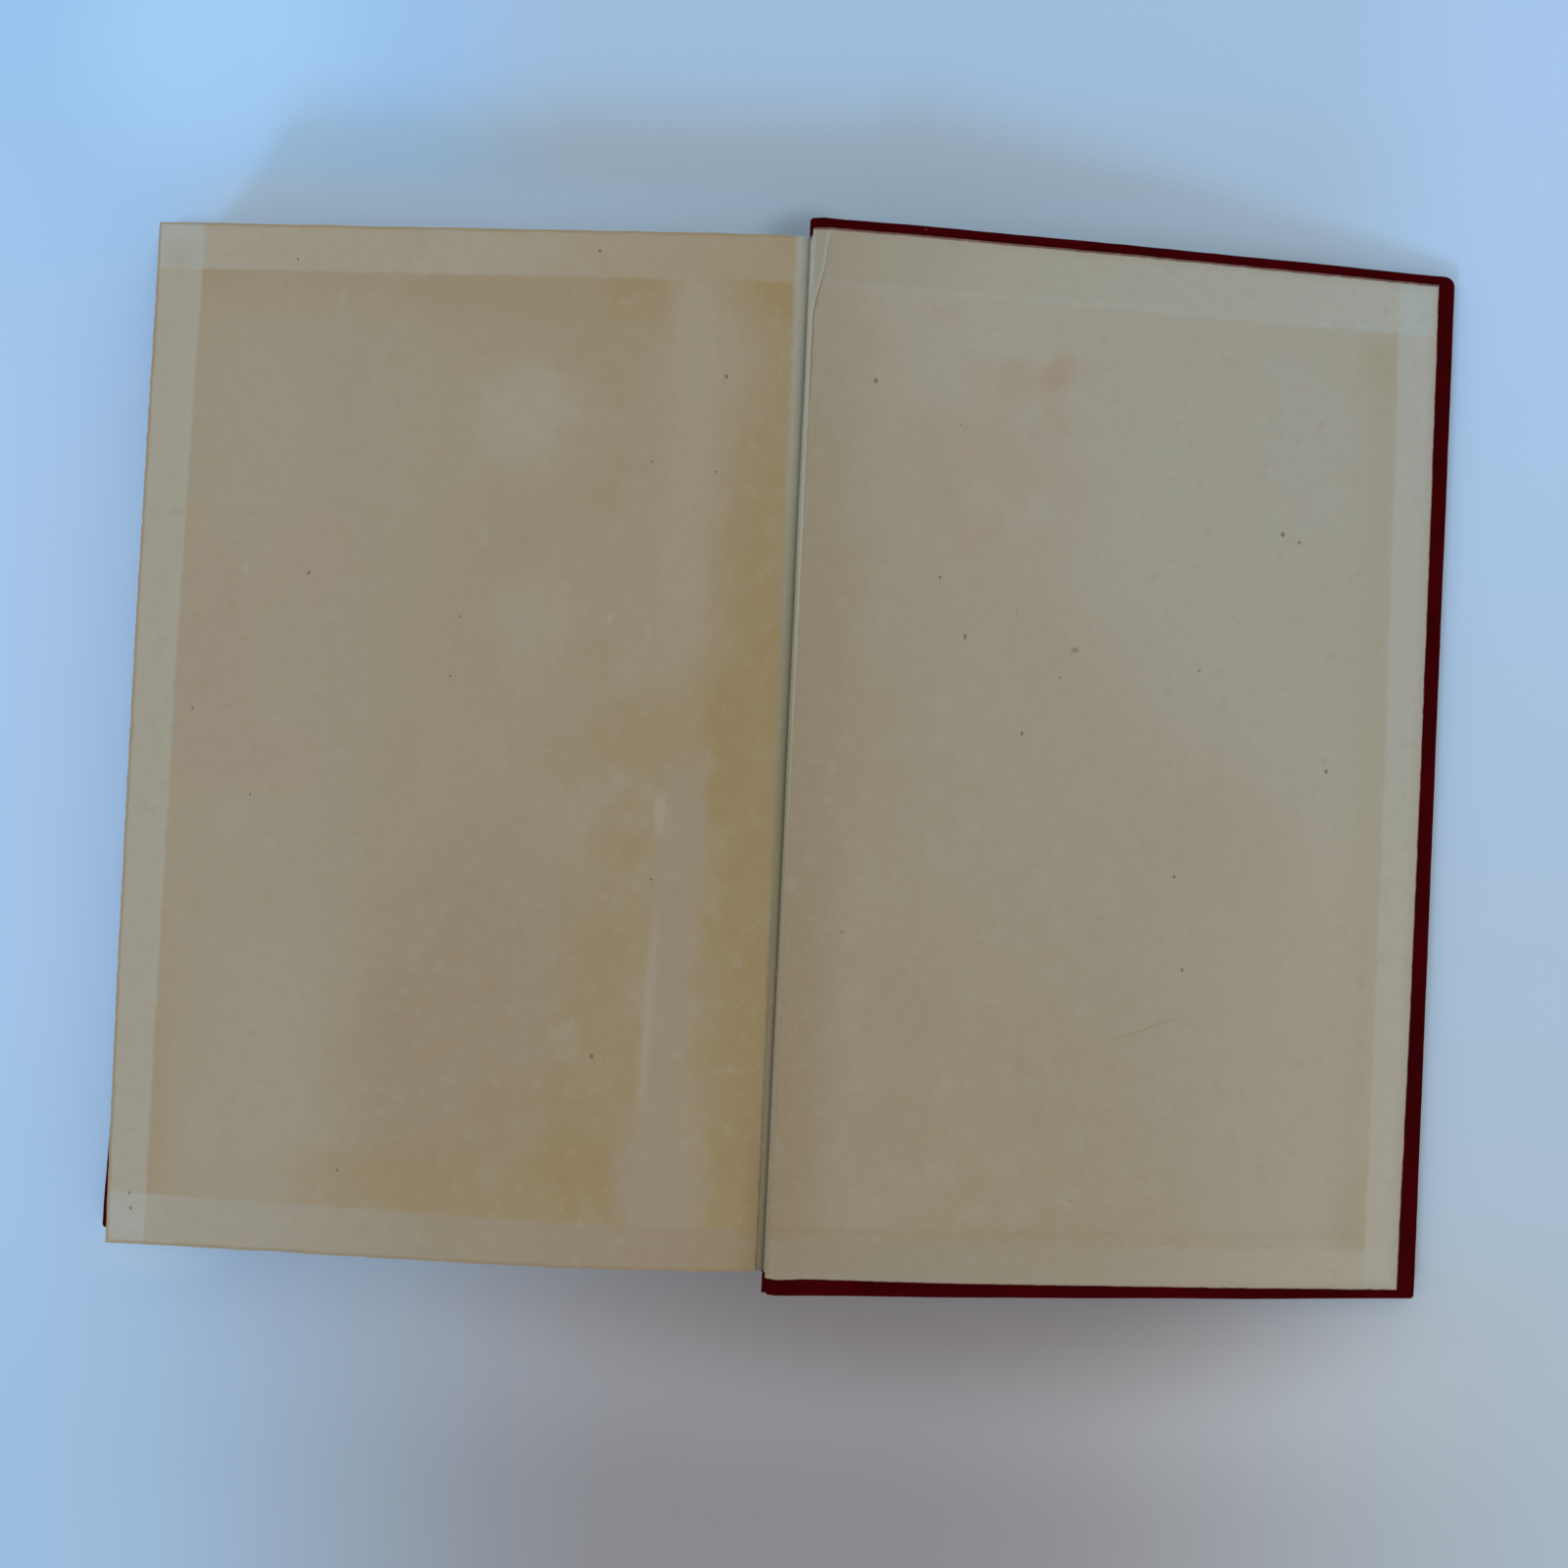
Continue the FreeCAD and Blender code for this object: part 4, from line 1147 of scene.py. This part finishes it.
def make_joint_cloths(material):
    """The cloth of the case where it bends between the spine and each cover."""
    middle = CLOTH / 2
    step = 1.0 / CLOTH_ARC.radius
    back_end = CLOTH_ARC.end - SPINE_CUT / CLOTH_ARC.radius

    def back(y):
        from_spine = [CLOTH_ARC.point(back_end - step, middle), CLOTH_ARC.point(back_end, middle)]
        return from_spine + [(BACK_PIVOT[0] + 0.02, BACK_PIVOT[1] - 0.62), flat_back(0.02, 0.66),
            flat_back(0.5, 0.69), flat_back(1.0, 0.7)]

    def front(y):
        from_spine = [CLOTH_ARC.point(CLOTH_ARC.start + step, middle),
            CLOTH_ARC.point(CLOTH_ARC.start, middle)]
        return from_spine + [(FRONT_PIVOT[0] + 0.22, FRONT_PIVOT[1] - 0.3), flat_front(0.3, 0.69),
            flat_front(1.0, 0.7)]

    half_height = HALF_COVER - 0.7
    make_strip("back_joint_cloth", back, CLOTH - 0.02, half_height,
        material, "cloth", 47)
    make_strip("front_joint_cloth", front, CLOTH - 0.02, half_height,
        material, "cloth", 48)


# Pieces that keep their own solid


def paint_hidden_pieces():
    card = cad_paper_paint("millboard", srgb(160, 148, 126), srgb(142, 128, 104), 0.6, 101.0)
    kraft = cad_paper_paint("kraft_lining", srgb(150, 124, 88), srgb(128, 100, 66), 0.4, 104.0)
    leaf = cad_paper_paint("hidden_endpaper", srgb(168, 160, 138), srgb(152, 138, 108), 0.5, 107.0)
    gauze = gauze_paint()
    finishes = {
        "front_board": card,
        "back_board": card,
        "spine_inlay": card,
        "spine_lining": kraft,
        "front_flyleaf": leaf,
        "spine_mull": gauze,
        "front_mull_flap": gauze,
        "back_mull_flap": gauze,
    }
    for node, finish in finishes.items():
        slots = frame["nodes"][node].material_slots
        for material_slot in slots:
            material_slot.material = finish


# Light, floor and camera

CAMERA_TURN = (-0.96, -1.75, -2.59)  # degrees about X, Y and Z that tip the view off plumb
CAMERA_OVER = (-0.1, -5.4)
CAMERA_HEIGHT = 310.8
LENS = 36.0
SENSOR = 36.0


def make_camera():
    """Above the book, looking almost straight down, with its top towards the head."""
    about_x, about_y, about_z = [
        Matrix.Rotation(math.radians(turn), 3, axis) for turn, axis in zip(CAMERA_TURN, "XYZ")]
    tip = about_z @ about_y @ about_x
    data = bpy.data.cameras.new("camera")
    data.lens = LENS
    data.sensor_width = SENSOR
    data.clip_start = 0.01
    camera = bpy.data.objects.new("camera", data)
    height = tip.transposed() @ Vector((0, 0, CAMERA_HEIGHT))
    place = (Vector((CAMERA_OVER[0] + TO_ROW, CAMERA_OVER[1], 0)) + height) * MM
    camera.matrix_world = Matrix.Translation(place) @ tip.transposed().to_4x4()
    bpy.context.scene.collection.objects.link(camera)
    bpy.context.scene.camera = camera


FLOOR_HALF = 20.0
FLOOR_TOP_LEFT = srgb(152, 195, 239)
FLOOR_TOP_RIGHT = srgb(165, 198, 235)
FLOOR_LEFT = srgb(167, 201, 238)
FLOOR_LOW_LEFT = srgb(156, 190, 223)
FLOOR_LOW_RIGHT = srgb(168, 187, 203)
FLOOR_HEAD_SHADOW = srgb(161, 188, 215)
FLOOR_FAR = srgb(172, 197, 222)
FLOOR_SHADE = srgb(135, 129, 128)
KEY_TOWARD = (-0.347, -0.778, 0.523)
KEY_TINT = (0.4, 0.65, 1.0)
KEY_SHARE = 0.19  # of the light on a level surface, in blue
LIGHT_LEVEL = 1.0


def make_floor():
    mesh = bpy.data.meshes.new("floor")
    corners = [(x * FLOOR_HALF, y * FLOOR_HALF) for x, y in ((-1, -1), (1, -1), (1, 1), (-1, 1))]
    mesh.from_pydata([(x, y, 0.0) for x, y in corners], [], [(0, 1, 2, 3)])
    floor = bpy.data.objects.new("floor", mesh)
    bpy.context.scene.collection.objects.link(floor)
    paint = Paint("pale_floor", mapped=False)
    rightward = paint.rising(paint.x, -150, 150)
    upward = paint.rising(paint.y, -150, 150)
    low_tone = paint.mix(rightward, FLOOR_LOW_LEFT, FLOOR_LOW_RIGHT)
    top_tone = paint.mix(rightward, FLOOR_TOP_LEFT, FLOOR_TOP_RIGHT)
    colour = paint.mix(upward, low_tone, top_tone)
    middle = paint.falling(paint.calc("ABSOLUTE", paint.y), 40, 150)
    sides = paint.times(middle, paint.falling(paint.x, -120, 20))
    colour = paint.mix(sides, colour, FLOOR_LEFT)
    # painted light: a brighter patch on the floor beyond the head of the leaf's fore-edge
    glow = paint.blob(paint.place, (-119.0, 140.0), (26.0, 25.0), 0.6)
    colour = paint.wash(colour, glow, 0.7, srgb(167, 209, 248))
    # painted shadow: a darker blue-grey zone on the floor beyond the book's head, widening the shadow that
    # the key casts there
    along_head = paint.strip(paint.x, -64, 118, 22)
    head_shadow = paint.times(paint.strip(paint.y, 108, 200, 8), along_head)
    head_shadow_tone = paint.mix(paint.rising(paint.y, 122, 140), FLOOR_HEAD_SHADOW, srgb(160, 190, 222))
    colour = paint.mix(head_shadow, colour, head_shadow_tone)
    # painted light: lighter, warmer floor along the head edge, offsetting the shade that the book's height
    # gives there
    head_edge_light = paint.times(paint.strip(paint.y, 88, 112, 6), paint.strip(paint.x, -120, 112, 14))
    head_edge_light_tone = paint.mix(paint.rising(paint.x, -60, 10), srgb(171, 201, 232), srgb(165, 193, 221))
    colour = paint.wash(colour, head_edge_light, 0.9, head_edge_light_tone)
    # painted shadow: a soft grey zone on the floor in front of the book's tail, lighter next to the book as
    # painted light that offsets the book's own shade there
    inside = paint.times(paint.rising(paint.x, -150, -15), paint.falling(paint.x, 60, 200))
    near = paint.times(inside, paint.falling(paint.y, -112, -78))
    near = paint.times(near, paint.rising(paint.y, -235, -163))
    from_book = paint.rising(paint.y, -150, -112)
    front_shadow_left = paint.mix(from_book, srgb(137, 137, 142), srgb(153, 154, 160))
    front_shadow_right = paint.mix(from_book, srgb(155, 156, 159), srgb(173, 175, 178))
    colour = paint.mix(near, colour, paint.mix(paint.rising(paint.x, 20, 130), front_shadow_left, front_shadow_right))
    # painted light: a lighter patch on the floor by the tail end of the fore-edge, offsetting the shade
    # beside the book
    foot = paint.times(paint.strip(paint.y, -108, -94, 4), paint.strip(paint.x, -130, -108, 7))
    colour = paint.wash(colour, foot, 0.5, srgb(176, 202, 228))
    # painted shadow: a darker patch on the floor along the tail edge of the open back cover
    shadow_under_cover = paint.blob(paint.place, (34.0, -102.0), (68.0, 21.0), 0.6)
    colour = paint.wash(colour, shadow_under_cover, 0.85, FLOOR_SHADE)
    # painted shadow: a dark patch on the floor by the raised head end of the back cover's hinge
    head_end_shadow = paint.blob(paint.place, (1.0, 102.0), (8.0, 6.5), 0.45)
    colour = paint.wash(colour, head_end_shadow, 0.5, srgb(112, 130, 148))
    around = paint.blob(paint.place, (0.0, -5.0), (300.0, 300.0), 0.25)
    colour = paint.mix(around, FLOOR_FAR, colour)
    grain = paint.noise(3.0, 120.0, detail=3)
    mesh.materials.append(paint.finish(colour, 0.6, grain, 0.002, specular=0.1))


def make_light():
    """A low soft key from the front left, a little blue, in an even surround that is as much warmer."""
    sun = bpy.data.lights.new("key", "SUN")
    toward = Vector(KEY_TOWARD).normalized()
    sun.energy = KEY_SHARE * math.pi / toward.z
    sun.color = KEY_TINT
    sun.angle = math.radians(12)
    key = bpy.data.objects.new("key", sun)
    key.rotation_euler = toward.to_track_quat("Z", "Y").to_euler()
    bpy.context.scene.collection.objects.link(key)
    world = bpy.data.worlds.new("surround")
    bpy.context.scene.world = world
    world.use_nodes = True
    tree = world.node_tree
    tree.nodes.clear()
    even = tree.nodes.new("ShaderNodeBackground")
    even.inputs["Color"].default_value = (*[1 - KEY_SHARE * tint for tint in KEY_TINT], 1.0)
    even.inputs["Strength"].default_value = LIGHT_LEVEL
    seen = tree.nodes.new("ShaderNodeBackground")
    seen.inputs["Color"].default_value = srgb(178, 202, 226)
    seen.inputs["Strength"].default_value = 1.0
    path = tree.nodes.new("ShaderNodeLightPath")
    choose = tree.nodes.new("ShaderNodeMixShader")
    output = tree.nodes.new("ShaderNodeOutputWorld")
    tree.links.new(path.outputs["Is Camera Ray"], choose.inputs[0])
    tree.links.new(even.outputs[0], choose.inputs[1])
    tree.links.new(seen.outputs[0], choose.inputs[2])
    tree.links.new(choose.outputs[0], output.inputs["Surface"])
    bpy.context.scene.view_settings.view_transform = "Standard"


def main():
    make_camera()
    make_floor()
    make_light()
    make_top_leaf()
    make_leaf_block()
    make_pastedown("back_endpaper", "back_pastedown", "back_cover", back_cover_points,
        pastedown_paint(), 51, True)
    inside = plain_paper_paint("front_endpaper_paint", srgb(160, 153, 134), srgb(146, 132, 104), 111.0)
    make_pastedown("front_endpaper", "front_pastedown", "front_cover", front_cover_points, inside,
        61, False)
    cloth = cloth_paint("red_cloth", 71.0)
    head_high, head_low = (TAIL_RADIUS, HEAD_RADIUS), (HEAD_RADIUS, TAIL_RADIUS)
    make_cover_cloth("back_cover_case", "back_cover_cloth", "back_cover", back_cover_points, cloth,
        81, head_high)
    make_cover_cloth("front_cover_case", "front_cover_cloth", "front_cover", front_cover_points,
        cloth, 91, head_low)
    make_spine_cloth(cloth)
    fold = Paint("gutter_paper")
    # painted light: the fold's paper is lighter towards the tail, to offset the shade its valley gets there
    painted_light_share = fold.times(fold.falling(fold.y, 20, 110), 0.5)
    tone = fold.mix(painted_light_share, gutter_tone_and_shade(fold), srgb(146, 137, 116))
    back_fold = finish_paper(fold, tone, 135.0)
    front_fold = plain_paper_paint("front_gutter_paper", srgb(150, 150, 136), srgb(144, 142, 124), 131.0)
    make_gutter_papers(back_fold, front_fold)
    make_joint_cloths(cloth)
    paint_hidden_pieces()


main()
